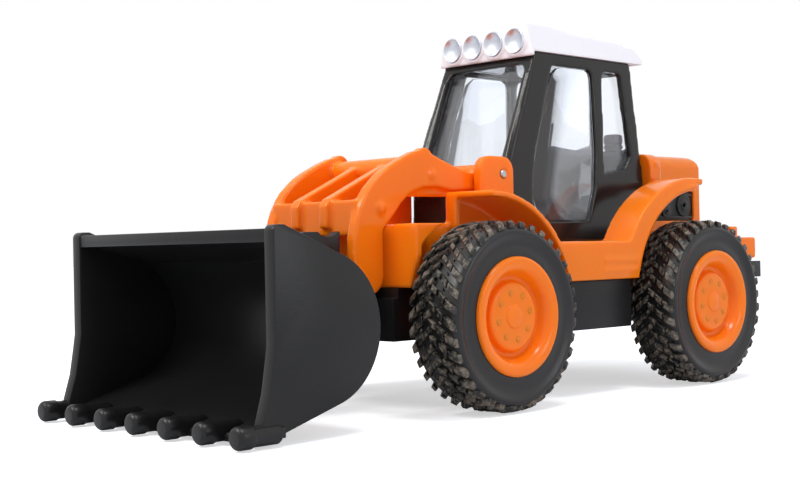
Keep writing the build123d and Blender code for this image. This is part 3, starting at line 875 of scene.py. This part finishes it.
def at_origin(build: Stock) -> Stock:
    """Move shells made round the front axle's station zero to the origin, ready to be copied."""
    bmesh.ops.translate(build.bm, verts=build.bm.verts, vec=-place(0, 0, 0))
    return build


# ---------------------------------------------------------------- sub-assemblies


@dataclass(frozen=True)
class Block:
    """One block of a slanting tread bar: its ends from the tyre's middle, half its width, its radii."""

    inner: float
    outer: float
    half: float
    top: float
    top_out: float


@dataclass
class Wheels:
    """Two wheels and the axle that joins them, all in one body."""

    prefix: str
    station: float
    body: Body
    radius: float = 38.0
    outer: float = 71.7
    width: float = 24.6
    tyre_steps: int = 144
    rim_face: float = 72.5
    rim_steps: int = 128
    hub_recess: float = 3.3
    pitches: int = 36
    lean: float = 0.78
    blocks: tuple[Block, ...] = (Block(-0.4, 3.0, 1.55, 38.0, 37.9), Block(3.5, 7.2, 1.75, 37.6, 37.7),
                                 Block(7.7, 12.0, 1.9, 37.9, 36.9))
    tie: Block = Block(4.4, 5.9, 0.8, 37.0, 37.0)
    block_base: float = 34.6
    block_draft: float = 0.3
    block_edge: float = 0.28
    least_block: float = 0.993
    bolts: int = 8
    bolt_circle: float = 9.3
    bolt_phase: float = 0.2
    seed: int = 7

    def sidewall(self) -> Outline:
        """Closed section of the tyre's carcass, radius and lateral position, outer face first.

        Returns:
            The section.
        """
        face, back = self.outer, self.outer - self.width
        return [
            (23.5, face - 3.0), (23.6, face - 0.9), (24.4, face - 0.75), (26.5, face - 1.15),
            (29.0, face - 1.3), (30.6, face - 1.0), (31.9, face - 0.3), (32.9, face), (33.9, face - 0.25),
            (34.7, face - 1.0), (35.3, face - 2.2), (35.7, face - 4.0), (36.0, face - 7.0),
            (36.1, face - 12.3), (36.0, back + 7.0), (35.7, back + 4.0), (35.3, back + 2.2),
            (34.6, back + 0.9), (33.4, back + 0.1), (31.6, back), (27.0, back + 0.6), (23.6, back + 0.9),
            (23.5, back + 3.0),
        ]

    def centre(self) -> tuple[float, float, float]:
        """Middle of the axle."""
        return (self.station, 0, self.radius)

    def bar(self, stock: Stock, block: Block, hand: int, shift: float) -> None:
        """Add one block of a slanting tread bar, at the top of the tyre.

        Args:
            stock: where it goes.
            block: its sizes.
            hand: 1 for the outboard half of the tread, -1 for the inboard half.
            shift: offset round the tyre in millimetres.
        """
        middle = self.outer - self.width / 2
        corners = []
        for at_top, pull in ((False, 0.0), (True, self.block_draft)):
            for across, way in ((block.inner, -1), (block.outer, -1), (block.outer, 1), (block.inner, 1)):
                inside = across == block.inner
                reach = across + (pull if inside else -pull)
                radius = (block.top if inside else block.top_out) if at_top else self.block_base
                angle = (self.lean * abs(reach) + shift + way * (block.half - pull)) / self.radius
                corners.append(place(radius * math.sin(angle), middle + hand * reach,
                                     radius * math.cos(angle)))
        stock.block(corners)

    def tread(self) -> Stock:
        """One pitch of the tread: a broken slanting bar each side of the middle, half a pitch apart.

        Returns:
            The blocks.
        """
        stock = Stock()
        pitch = TURN * self.radius / self.pitches
        for hand, shift in ((1, 0.0), (-1, pitch / 2)):
            for block in self.blocks:
                self.bar(stock, block, hand, shift)
            # a short tie between neighbouring bars, lower than the blocks
            self.bar(stock, self.tie, hand, shift + pitch / 2)
        return stock

    def rim_section(self) -> Outline:
        """Closed section of the rim, radius and lateral position, outer face first.

        Returns:
            The section.
        """
        f, b = self.rim_face, self.outer - self.width
        return [
            (0, f - 2.75), (4.1, f - 2.78), (4.5, f - 2.95), (4.75, f - self.hub_recess),
            (11.6, f - self.hub_recess), (12.6, f - 3.4), (13.3, f - 3.8), (13.7, f - 4.6),
            (13.95, f - 5.9), (14.4, f - 6.45), (15.2, f - 6.5), (16.0, f - 6.2), (16.7, f - 5.2),
            (17.3, f - 3.6), (17.9, f - 2.1), (18.7, f - 1.05), (19.8, f - 0.45), (21.2, f - 0.1),
            (22.4, f), (23.1, f - 0.25), (23.55, f - 0.9), (23.6, f - 2.0), (23.6, b + 0.2), (21.2, b),
            (21.2, f - 9.0), (5.0, f - 9.0), (5.0, b), (2.05, b), (2.05, f - 6.3), (0, f - 6.3),
        ]

    def tyre(self, label: str, side: Side) -> None:
        """Make and dress one tyre.

        Args:
            label: start of its name.
            side: which side it is on.
        """
        section = [(r, side.value * y) for r, y in self.sidewall()]
        shell = Stock().turned(section, self.centre(), Along.LATERAL, self.tyre_steps)
        carcass = shell.plain(label + "_carcass")
        carcass.data.materials.append(SIDEWALL_RUBBER.material())
        stock = self.tread()
        if side is Side.RIGHT:
            bmesh.ops.scale(stock.bm, vec=(1, -1, 1), verts=stock.bm.verts)
            bmesh.ops.recalc_face_normals(stock.bm, faces=stock.bm.faces)
        blocks = at_origin(stock).edged(label + "_tread", self.block_edge, 1, 40)
        RING.apply(blocks, Count=self.pitches, Centre=place(*self.centre()), Phase=0.0,
                   Least_Size=self.least_block, Seed=self.seed + side.value,
                   Material=TREAD_RUBBER.material())
        dress(joined(label + "_tyre_rubber", [carcass, blocks]), None, self.body, Slot.RUBBER,
              label + "_tyre")

    def rim(self, label: str, side: Side) -> None:
        """Make and dress one rim with its ring of bolt heads.

        Args:
            label: start of its name.
            side: which side it is on.
        """
        section = [(r, side.value * y) for r, y in self.rim_section()]
        shell = Stock().turned(section, self.centre(), Along.LATERAL, self.rim_steps)
        rim = shell.plain(label + "_wheel", 50)
        rim.data.materials.append(ORANGE_ABS.material())
        face = self.rim_face - self.hub_recess
        dome = [(0, face - 0.6), (1.25, face - 0.6), (1.25, face), (1.1, face + 0.17), (0.7, face + 0.28),
                (0, face + 0.3)]
        head = Stock().turned([(r, side.value * y) for r, y in dome], (0, 0, self.bolt_circle),
                              Along.LATERAL, 16)
        bolt = at_origin(head).plain(label + "_bolts")
        RING.apply(bolt, Count=self.bolts, Centre=place(*self.centre()), Phase=self.bolt_phase,
                   Least_Size=1.0, Seed=self.seed, Material=ORANGE_ABS.material())
        dress(joined(label + "_rim_moulding", [rim, bolt]), None, self.body, Slot.ORANGE, label + "_rim")

    def build(self) -> None:
        """Make and dress the tyres, rims and axle."""
        for side in Side:
            label = f"{self.prefix}_{side.name.lower()}"
            self.tyre(label, side)
            self.rim(label, side)
        keep_node(self.prefix + "_axle", WIRE_STEEL)


@dataclass
class Chassis:
    """Black tub under the body, with its screws."""

    edge: float = 0.7
    screw_stations: tuple[float, ...] = (14.0, -60.0, -166.0)
    screw_half: float = 22.0
    screw_floor: float = 29.0
    head_radius: float = 2.65

    def screw(self) -> Stock:
        """One pan-head screw seen from below, with a cross recess, at the origin.

        Returns:
            The screw.
        """
        stock = Stock().turned([(0, 0.55), (0.5, 0.1), (1.6, 0.1), (2.3, 0.4), (self.head_radius, 1.0),
                                (self.head_radius, 1.6), (1.45, 1.6), (1.45, 12.5), (0.9, 13.0), (0, 13.0)],
                               (0, 0, 0), Along.HEIGHT, 24)
        return at_origin(stock)

    def build(self) -> None:
        """Make and dress the tub and its screws."""
        tub = Stock().node("chassis_frame").edged("chassis_tub", self.edge, 3)
        dress(tub, BLACK_ABS, Body.CHASSIS, Slot.BLACK, "chassis_frame")
        rows = []
        for station in self.screw_stations:
            row = self.screw().plain("screws")
            ROW.apply(row, Count=2, Start=place(station, -self.screw_half, self.screw_floor),
                      Step=Vector((0, 2 * self.screw_half * MM, 0)), Material=WIRE_STEEL.material())
            rows.append(row)
        dress(joined("underside_screws", rows), None, Body.CHASSIS, Slot.STEEL, "chassis_screws")


@dataclass
class BodyShell:
    """Orange body: nose, wings, skirts and deck in one moulding."""

    voxel: float = 0.8
    passes: int = 5
    keep: float = 0.42
    bead_radius: float = 1.9
    bead_arch: float = 50.8
    bead_start: float = 16.0
    bead_end: float = 88.0
    axle_height: float = 38.0
    arch_back: float = 4.0
    arch_rise: float = 2.8
    bead_face: float = 58.9
    bar_foot: float = 59.0
    bar_face: float = 60.6
    bars: tuple[tuple[float, float], ...] = ((57.6, 59.3), (53.3, 55.0))
    bar_front: float = -70.0
    bar_back: float = -95.0

    def build(self) -> None:
        """Make and dress the shell."""
        stock = Stock().node("body_shell")
        for side in Side:
            flip = side.value
            centre = (REAR_STATION - self.arch_back, self.axle_height + self.arch_rise)
            bead = arc(centre, self.bead_arch, self.bead_start, self.bead_end, 28)
            stock.rod([place(x, flip * self.bead_face, z) for x, z in bead], self.bead_radius, 12)
            for low, high in self.bars:
                stock.prism([(self.bar_back, low), (self.bar_front, low), (self.bar_front, high),
                             (self.bar_back, high)], flip * self.bar_foot, flip * self.bar_face)
        dress(stock.fused("body_moulding", self.voxel, self.passes, self.keep), ORANGE_ABS, Body.CHASSIS,
              Slot.ORANGE, "body_shell")


@dataclass
class EngineBay:
    """Hood, side panels with their pulleys, bumper and the intake behind the cab."""

    hood_back: float = -184.0
    pulley_height: float = 84.0
    pulley_inset: float = 14.0
    idler_height: float = 81.0
    idler_inset: float = 29.0
    pulley_radius: float = 5.6
    idler_radius: float = 3.4
    face: float = 32.0
    rib_front: float = -145.5
    rib_back: float = -177.5
    rib_feet: tuple[float, ...] = (77.6, 88.6)
    rib_height: float = 1.1
    rib_half: float = 0.6

    def pulley(self, stock: Stock, station: float, height: float, radius: float, flip: int) -> None:
        """Add a stepped belt pulley to a side panel.

        Args:
            stock: where it goes.
            station: its station.
            height: its height.
            radius: its radius.
            flip: which side it faces.
        """
        f = self.face
        section = [(0, f - 1.0), (radius, f - 1.0), (radius, f + 0.75), (radius - 0.35, f + 0.95),
                   (radius - 1.1, f + 0.95), (radius - 1.5, f + 0.35), (radius * 0.5, f + 0.35),
                   (radius * 0.42, f + 1.15), (radius * 0.3, f + 1.3), (radius * 0.2, f + 0.9), (0, f + 0.9)]
        stock.turned([(r, flip * y) for r, y in section], (station, 0, height), Along.LATERAL, 40)

    def build(self) -> None:
        """Make and dress the pieces."""
        hood = Stock().node("engine_hood")
        for side in Side:
            # small catch where the collar meets the hood
            flip = side.value
            catch = [(0, 0), (1.5, 0), (1.5, flip * 1.2), (0.8, flip * 1.6), (0, flip * 1.7)]
            hood.turned(catch, (-145.6, flip * 32.4, 104.0), Along.LATERAL, 16)
        dress(hood.fused("hood_moulding", 0.7, 3, 0.5), ORANGE_ABS, Body.CHASSIS, Slot.ORANGE, "engine_hood")
        for side in Side:
            flip, label = side.value, side.name.lower()
            stock = Stock().node(f"{label}_engine_panel")
            self.pulley(stock, self.hood_back + self.pulley_inset, self.pulley_height,
                        self.pulley_radius, flip)
            self.pulley(stock, self.hood_back + self.idler_inset, self.idler_height,
                        self.idler_radius, flip)
            for foot in self.rib_feet:
                top = foot + self.rib_height
                stock.prism([(self.rib_back, foot), (self.rib_front, foot), (self.rib_front, top),
                             (self.rib_back, top)],
                            flip * (self.face - self.rib_half), flip * (self.face + self.rib_half))
            dress(stock.edged(f"{label}_engine_detail", 0.25, 2, 35), BLACK_ABS, Body.CHASSIS, Slot.BLACK,
                  f"{label}_engine_panel")
        bumper = Stock().node("rear_bumper").fused("bumper_moulding", 0.7, 3, 0.5)
        dress(bumper, ORANGE_ABS, Body.CHASSIS, Slot.ORANGE, "rear_bumper")
        low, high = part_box("air_cleaner")
        radius = (high.x - low.x) / 2 / MM
        station = ((high.x + low.x) / 2 - FRONT_X) / MM
        foot, top = low.z / MM, high.z / MM
        section = [(0, foot), (radius - 0.6, foot), (radius - 0.6, foot + 2.4), (radius, foot + 3.0),
                   (radius, foot + 4.2), (radius - 0.5, foot + 4.6), (radius - 0.5, foot + 5.2),
                   (radius, foot + 5.6), (radius, foot + 6.8), (radius - 0.5, foot + 7.2),
                   (radius - 0.5, foot + 7.8), (radius, foot + 8.2), (radius, top - 1.4),
                   (radius - 0.4, top - 0.5), (radius - 1.3, top), (0, top)]
        intake = Stock().turned(section, (station, 0, 0), Along.HEIGHT, 48).plain("intake_cap")
        dress(intake, TRIM_ABS, Body.CHASSIS, Slot.TRIM, "air_cleaner")


@dataclass
class Cab:
    """Cab frame, clear liner, floor, steering wheel, roof and lamps."""

    front: float = -42.0
    knee: float = 98.0
    brow: float = -63.5
    foot: float = 67.0
    top: float = 152.5
    half_low: float = 30.4
    half_high: float = 27.7
    door: tuple[tuple[float, float], ...] = (
        (-59.5, 76.3), (-58.5, 88.0), (-59.4, 98.0), (-60.9, 103.5), (-70.3, 131.5), (-72.8, 138.2),
        (-75.8, 143.4), (-80.0, 146.4), (-85.0, 147.0), (-100.8, 147.0), (-103.6, 145.7), (-104.6, 143.0),
        (-105.2, 109.4), (-103.3, 92.0), (-97.7, 76.3))
    pane_gap: float = 0.35
    ridge_inset: float = 2.6
    ridge_radius: float = 0.9
    lamp_count: int = 4
    lamp_sides: float = 12.87
    lamp_front: float = -61.0
    lamp_height: float = 157.6
    lamp_radius: float = 5.8

    def half(self, height: float) -> float:
        """Half width of the cab at a height."""
        share = (height - self.foot) / (self.top - self.foot)
        return self.half_low + (self.half_high - self.half_low) * share

    def frame(self) -> None:
        """Make and dress the black frame with its pillar ridges."""
        stock = Stock().node("cab_frame")
        for side in Side:
            flip = side.value
            points = [(self.front + 0.1, 88.0), (self.front + 0.1, self.knee), (self.brow + 0.1, 149.0)]
            path = []
            for (x0, z0), (x1, z1) in zip(points, points[1:]):
                for t in range(8):
                    height = z0 + (z1 - z0) * t / 8
                    path.append(place(x0 + (x1 - x0) * t / 8,
                                      flip * (self.half(height) - self.ridge_inset), height))
            stock.rod(path, self.ridge_radius, 8)
        made = stock.fused("cab_moulding", 0.75, 3, 0.5)
        dress(made, CAB_ABS, Body.CHASSIS, Slot.BLACK, "cab_frame")

    def panes(self) -> None:
        """Make and dress the thick clear panes that fill the door openings."""
        middle_x, middle_z = (sum(values) / len(self.door) for values in zip(*self.door))
        gap = self.pane_gap
        outline = [(x + (gap if x < middle_x else -gap), z + (gap if z < middle_z else -gap))
                   for x, z in self.door]
        lean = (self.half_high - self.half_low) / (self.top - self.foot)
        for side in Side:
            flip = side.value
            pane = Stock().prism(outline, flip * (self.half_low - 2.95), flip * (self.half_low - 0.9),
                                 flip * lean, self.foot).edged(f"{side.name.lower()}_door_pane", 0.45, 2, 30)
            dress(pane, CLEAR_PANEL, Body.CHASSIS, Slot.CLEAR)

    def interior(self) -> None:
        """Make and dress the floor, console and steering wheel."""
        floor = Stock().node("cab_floor").edged("cab_floor_moulding", 0.5, 2)
        dress(floor, CAB_ABS, Body.CHASSIS, Slot.BLACK, "cab_floor")
        wheel = Stock().node("steering_wheel").fused("steering_moulding", 0.3, 3, 0.6)
        dress(wheel, TRIM_ABS, Body.CHASSIS, Slot.TRIM, "steering_wheel")

    def roof(self) -> None:
        """Make and dress the roof moulding with its lamp bezels."""
        stock = Stock().node("roof")
        r = self.lamp_radius
        for i in range(self.lamp_count):
            lateral = (i - (self.lamp_count - 1) / 2) * self.lamp_sides
            stock.turned([(r - 0.5, -1.2), (r + 1.1, -1.2), (r + 1.1, 0.5), (r + 0.5, 1.1), (r - 0.5, 1.0)],
                         (self.lamp_front, lateral, self.lamp_height), Along.STATION, 48)
        dress(stock.fused("roof_moulding", 0.62, 4, 0.5), WHITE_ABS, Body.CHASSIS, Slot.WHITE, "roof")

    def lamps(self) -> None:
        """Make and dress the row of four silvered lamps."""
        r = self.lamp_radius
        section = [(0, -0.78), (r - 0.1, -0.78), (r - 0.1, 1.35), (r - 0.3, 1.65), (r - 0.6, 1.6),
                   (r - 1.0, 1.2), (r - 1.8, 0.55), (r - 2.9, 0.0), (r - 4.2, -0.3), (0.8, -0.45),
                   (0, -0.45)]
        lamp = at_origin(Stock().turned(section, (0, 0, 0), Along.STATION, 40)).plain("lamp_dishes")
        first = -(self.lamp_count - 1) / 2 * self.lamp_sides
        ROW.apply(lamp, Count=self.lamp_count, Start=place(self.lamp_front, first, self.lamp_height),
                  Step=Vector((0, self.lamp_sides * MM, 0)), Material=SILVERED.material())
        dress(lamp, None, Body.CHASSIS, Slot.LAMP, "roof_lamps")

    def build(self) -> None:
        """Make and dress everything above the deck."""
        self.frame()
        keep_node("cab_glazing", CLEAR_PANEL)
        self.panes()
        self.interior()
        self.roof()
        self.lamps()


@dataclass
class LoaderArms:
    """The pair of arms, their cross tube, ribs and front bar, and both pivot pins."""

    voxel: float = 0.6
    passes: int = 7
    face: float = 28.5
    boss: tuple[float, float] = (32.2, 81.5)
    hump: tuple[float, float] = (3.0, 95.5)

    def build(self) -> None:
        """Make and dress the arms."""
        stock = Stock().node("loader_arm")
        for side in Side:
            flip = side.value
            for (x, z), radius, stand in ((self.boss, 2.2, 1.1), (self.hump, 2.0, 0.7)):
                root, shoulder, face = self.face - 1.5, self.face + stand * 0.5, self.face + stand
                button = [(0, root), (radius, root), (radius, shoulder), (radius * 0.6, face), (0, face)]
                stock.turned([(r, flip * y) for r, y in button], (x, 0, z), Along.LATERAL, 20)
        dress(stock.fused("arm_moulding", self.voxel, self.passes, 0.7), ORANGE_ABS, Body.ARMS, Slot.ORANGE,
              "loader_arm")
        keep_node("arm_pivot_pin", WIRE_STEEL)
        keep_node("bucket_pivot_pin", WIRE_STEEL)


@dataclass
class Bucket:
    """Bucket: two cheeks, a rolled shell, the top bar, the ears with their stop horns and a row of teeth."""

    half: float = 64.4
    cheek: float = 5.0
    shell: float = 3.0
    front: float = 114.7
    back: tuple[float, float] = (66.6, 37.0)
    brow: tuple[float, float] = (86.5, 64.8)
    heel: tuple[float, float] = (85.0, 12.2)
    top: float = 74.5
    lip: tuple[float, float] = (121.5, 1.2)
    step: float = 34.0
    bar_low: float = 68.5
    bar_high: float = 73.2
    bar_depth: float = 5.0
    pivot: tuple[float, float] = (38.5, 55.0)
    eye: float = 7.6
    ear_outer: float = 22.5
    ear_wall: float = 5.0
    horn_back: float = 48.6
    horn_top: float = 72.7
    teeth: int = 7
    tooth_span: float = 125.0
    tooth_radius: float = 4.1
    tooth_neck: float = 3.6
    tooth_tip: float = 131.0
    tooth_height: float = 4.6

    def cheeks(self, stock: Stock) -> None:
        """Add the two side plates, whose front edges stand a little above the top bar.

        Args:
            stock: where they go.
        """
        post = arc((self.front - 2.4, self.top - 2.4), 2.4, 0, 90, 5)
        outline = [*through(self.brow, self.back, self.heel, 36), self.lip,
                   (self.lip[0], self.lip[1] + self.shell), (self.front + 2.6, self.step - 16.0),
                   (self.front + 0.9, self.step - 6.0), (self.front, self.step), *post,
                   (self.front - self.bar_depth, self.top)]
        for side in Side:
            stock.prism(outline, side.value * self.half, side.value * (self.half - self.cheek))

    def shells(self, stock: Stock) -> None:
        """Add the rolled back and floor, and the sloping top with its bar.

        Args:
            stock: where they go.
        """
        outer = through(self.brow, self.back, self.heel, 36)
        inner = through((self.brow[0], self.brow[1] - self.shell), (self.back[0] + self.shell, self.back[1]),
                        (self.heel[0], self.heel[1] + self.shell), 36)
        reach = self.half - self.cheek / 2
        stock.prism([*outer, self.lip, (self.lip[0] + 0.8, self.lip[1] + self.shell / 2),
                     (self.lip[0], self.lip[1] + self.shell), *reversed(inner)], -reach, reach)
        inside = self.front - self.bar_depth
        edge = self.front - 0.4
        stock.prism([self.brow, (inside, self.bar_high), (edge, self.bar_high), (edge, self.bar_low),
                     (inside, self.bar_low), (self.brow[0], self.brow[1] - self.shell)], -reach, reach)

    def ears(self, stock: Stock) -> None:
        """Add the two ears that hang on the pin, each with a horn that stops the bucket against the arms.

        Args:
            stock: where they go.
        """
        back, top = self.horn_back, self.horn_top
        outline = [*arc(self.pivot, self.eye, 270, 90, 24), (back, self.pivot[1] + self.eye), (back, top),
                   (back + 0.8, top - 0.1), (back + 1.6, top - 0.6), (back + 2.6, top - 1.2),
                   (back + 3.6, top - 1.7), (back + 5.1, top - 2.1), (back + 6.6, top - 2.1),
                   (back + 8.1, top - 1.8), (back + 9.3, top - 1.4), (back + 10.3, top - 0.6),
                   (back + 11.2, top - 0.1), (back + 17.6, top - 0.1),
                   *through((self.brow[0] - 1.0, self.brow[1] - 0.8), (self.back[0] + 1.4, self.back[1]),
                            (self.heel[0], self.heel[1] + 1.4), 24)[:14]]
        for side in Side:
            flip = side.value
            stock.prism(outline, flip * self.ear_outer, flip * (self.ear_outer - self.ear_wall))

    def tooth(self) -> Stock:
        """One barrel tooth at the origin: a chamfered head, a slimmer neck and a flat root on the lip.

        Returns:
            The tooth.
        """
        r, neck = self.tooth_radius, self.tooth_neck
        section = [(0, 0), (r - 1.3, 0), (r - 0.35, -0.75), (r, -1.7), (r, -6.0), (r - 0.3, -6.6),
                   (neck, -7.2), (neck, -17.4), (neck - 0.7, -18.4), (0, -18.4)]
        stock = Stock().turned(section, (0, 0, 0), Along.STATION, 24)
        # the root: a low square pad that runs up the lip behind the neck
        foot = ((-19.5, -2.9), (-8.0, -2.9), (-8.0, 2.9), (-19.5, 2.9))
        stock.block([place(x, y, z) for z in (-1.5, 2.2) for x, y in foot])
        return at_origin(stock)

    def build(self) -> None:
        """Make and dress the bucket."""
        stock = Stock()
        self.cheeks(stock)
        self.shells(stock)
        self.ears(stock)
        body = stock.edged("bucket_shell", 0.45, 2, 24)
        body.data.materials.append(BLACK_ABS.material())
        gap = self.tooth_span / (self.teeth - 1)
        row = self.tooth().edged("bucket_teeth", 0.3, 2, 30)
        first = place(self.tooth_tip, -self.tooth_span / 2, self.tooth_height)
        ROW.apply(row, Count=self.teeth, Start=first, Step=Vector((0, gap * MM, 0)),
                  Material=BLACK_ABS.material())
        dress(joined("bucket_moulding", [body, row]), None, Body.BUCKET, Slot.BLACK, "bucket")


@dataclass
class Studio:
    """Floor, lamps, surroundings and camera."""

    camera_at: tuple[float, float, float] = (0.43115, 0.41840, 0.06570)
    look_at: tuple[float, float, float] = (0.01226, 0.0, 0.07028)
    roll: float = math.radians(-1.186)
    lens: float = 60.525
    sensor: float = 36.0
    shift: tuple[float, float] = (-0.0409, -0.0027)
    floor_glow: tuple[float, float] = (0.56, 0.66)
    glow_reach: tuple[float, float] = (0.3, 1.2)
    floor_half: float = 6.0
    ambient: float = 0.64
    aim: tuple[float, float, float] = (0.0, 0.0, 0.06)

    def camera(self) -> None:
        """Make the camera."""
        data = bpy.data.cameras.new("camera")
        data.sensor_width = self.sensor
        data.lens = self.lens
        data.shift_x, data.shift_y = self.shift
        data.clip_start, data.clip_end = 0.01, 20.0
        made = bpy.data.objects.new("camera", data)
        at = Vector(self.camera_at)
        ahead = (Vector(self.look_at) - at).normalized()
        right = ahead.cross(Vector((0, 0, 1))).normalized()
        up = right.cross(ahead)
        c, s = math.cos(self.roll), math.sin(self.roll)
        right, up = c * right + s * up, c * up - s * right
        made.matrix_world = Matrix.Translation(at) @ Matrix((right, up, -ahead)).transposed().to_4x4()
        bpy.context.scene.collection.objects.link(made)
        bpy.context.scene.camera = made

    def lamp(self, name: str, at: tuple[float, float, float], size: float, power: float,
             colour: str) -> None:
        """Add a soft square lamp aimed at the toy.

        Args:
            name: the lamp's name.
            at: where it hangs, in metres.
            size: its side in metres.
            power: its power in watts.
            colour: its colour.
        """
        data = bpy.data.lights.new(name, "AREA")
        data.size, data.energy, data.color = size, power, linear(colour)[:3]
        made = bpy.data.objects.new(name, data)
        made.location = at
        made.rotation_euler = (Vector(self.aim) - Vector(at)).to_track_quat("-Z", "Y").to_euler()
        bpy.context.scene.collection.objects.link(made)

    def floor(self) -> None:
        """Make the pale floor, which keeps the toy's shadow.

        What is seen directly or through glass is lifted towards white, more so further from the toy.
        The lift lights nothing.
        """
        stock = bmesh.new()
        size = self.floor_half
        corners = ((-size, -size, 0), (size, -size, 0), (size, size, 0), (-size, size, 0))
        stock.faces.new([stock.verts.new(v) for v in corners])
        mesh = bpy.data.meshes.new("floor")
        stock.to_mesh(mesh)
        stock.free()
        made = bpy.data.objects.new("floor", mesh)
        bpy.context.scene.collection.objects.link(made)
        paper, tree = blank("paper_sweep")
        matte = add_node(tree, "ShaderNodeBsdfDiffuse", Color=linear("#EDEEF2"))
        ray = add_node(tree, "ShaderNodeLightPath")
        seen = add_node(tree, "ShaderNodeMath", {0: ray.outputs["Is Camera Ray"],
                                                 1: ray.outputs["Is Transmission Ray"]}, operation="MAXIMUM")
        where = add_node(tree, "ShaderNodeTexCoord").outputs["Object"]
        away = add_node(tree, "ShaderNodeVectorMath", {0: where}, operation="LENGTH")
        fade = add_node(tree, "ShaderNodeMapRange", {"Value": away.outputs["Value"]},
                        From_Min=self.glow_reach[0], From_Max=self.glow_reach[1],
                        To_Min=self.floor_glow[0], To_Max=self.floor_glow[1])
        amount = add_node(tree, "ShaderNodeMath", {0: seen.outputs[0], 1: fade.outputs["Result"]},
                          operation="MULTIPLY")
        glow = add_node(tree, "ShaderNodeEmission", {"Strength": amount.outputs[0]})
        both = add_node(tree, "ShaderNodeAddShader", {0: matte.outputs[0], 1: glow.outputs[0]})
        show(tree, both.outputs[0])
        mesh.materials.append(paper)

    def surroundings(self) -> None:
        """Make a backdrop that is white where seen, mirrored or seen through glass, and softer as light."""
        world = bpy.data.worlds.new("surroundings")
        bpy.context.scene.world = world
        world.use_nodes = True
        tree = world.node_tree
        tree.nodes.clear()
        ray = add_node(tree, "ShaderNodeLightPath")
        seen = add_node(tree, "ShaderNodeMath", {0: ray.outputs["Is Camera Ray"],
                                                 1: ray.outputs["Is Transmission Ray"]}, operation="MAXIMUM")
        direct = add_node(tree, "ShaderNodeMath", {0: seen.outputs[0], 1: ray.outputs["Is Glossy Ray"]},
                        operation="MAXIMUM")
        light = add_node(tree, "ShaderNodeBackground", Color=linear("#F4F6FA"), Strength=self.ambient)
        white = add_node(tree, "ShaderNodeBackground", Color=(1, 1, 1, 1), Strength=1.0)
        mixed = add_node(tree, "ShaderNodeMixShader", {0: direct.outputs[0], 1: light.outputs[0],
                                                       2: white.outputs[0]})
        add_node(tree, "ShaderNodeOutputWorld", {"Surface": mixed.outputs[0]})

    def build(self) -> None:
        """Make the whole studio."""
        self.camera()
        self.floor()
        self.surroundings()
        self.lamp("key", (0.6, -0.2, 0.65), 0.3, 3.6, "#FFFDF9")
        self.lamp("top", (0.1, 0.3, 0.9), 0.25, 3.0, "#FFFFFF")
        self.lamp("side", (-0.2, 0.85, 0.35), 0.3, 1.0, "#F8FAFF")
        scene = bpy.context.scene
        scene.view_settings.view_transform = "Standard"


def main() -> None:
    """Build the studio and every sub-assembly in order."""
    logging.basicConfig(level=logging.INFO, format="%(name)s: %(message)s")
    Studio().build()
    Wheels("front", 0.0, Body.FRONT_WHEELS, seed=11).build()
    Wheels("rear", REAR_STATION, Body.REAR_WHEELS, seed=23).build()
    Chassis().build()
    BodyShell().build()
    EngineBay().build()
    Cab().build()
    LoaderArms().build()
    Bucket().build()


if __name__ == "__main__":
    main()
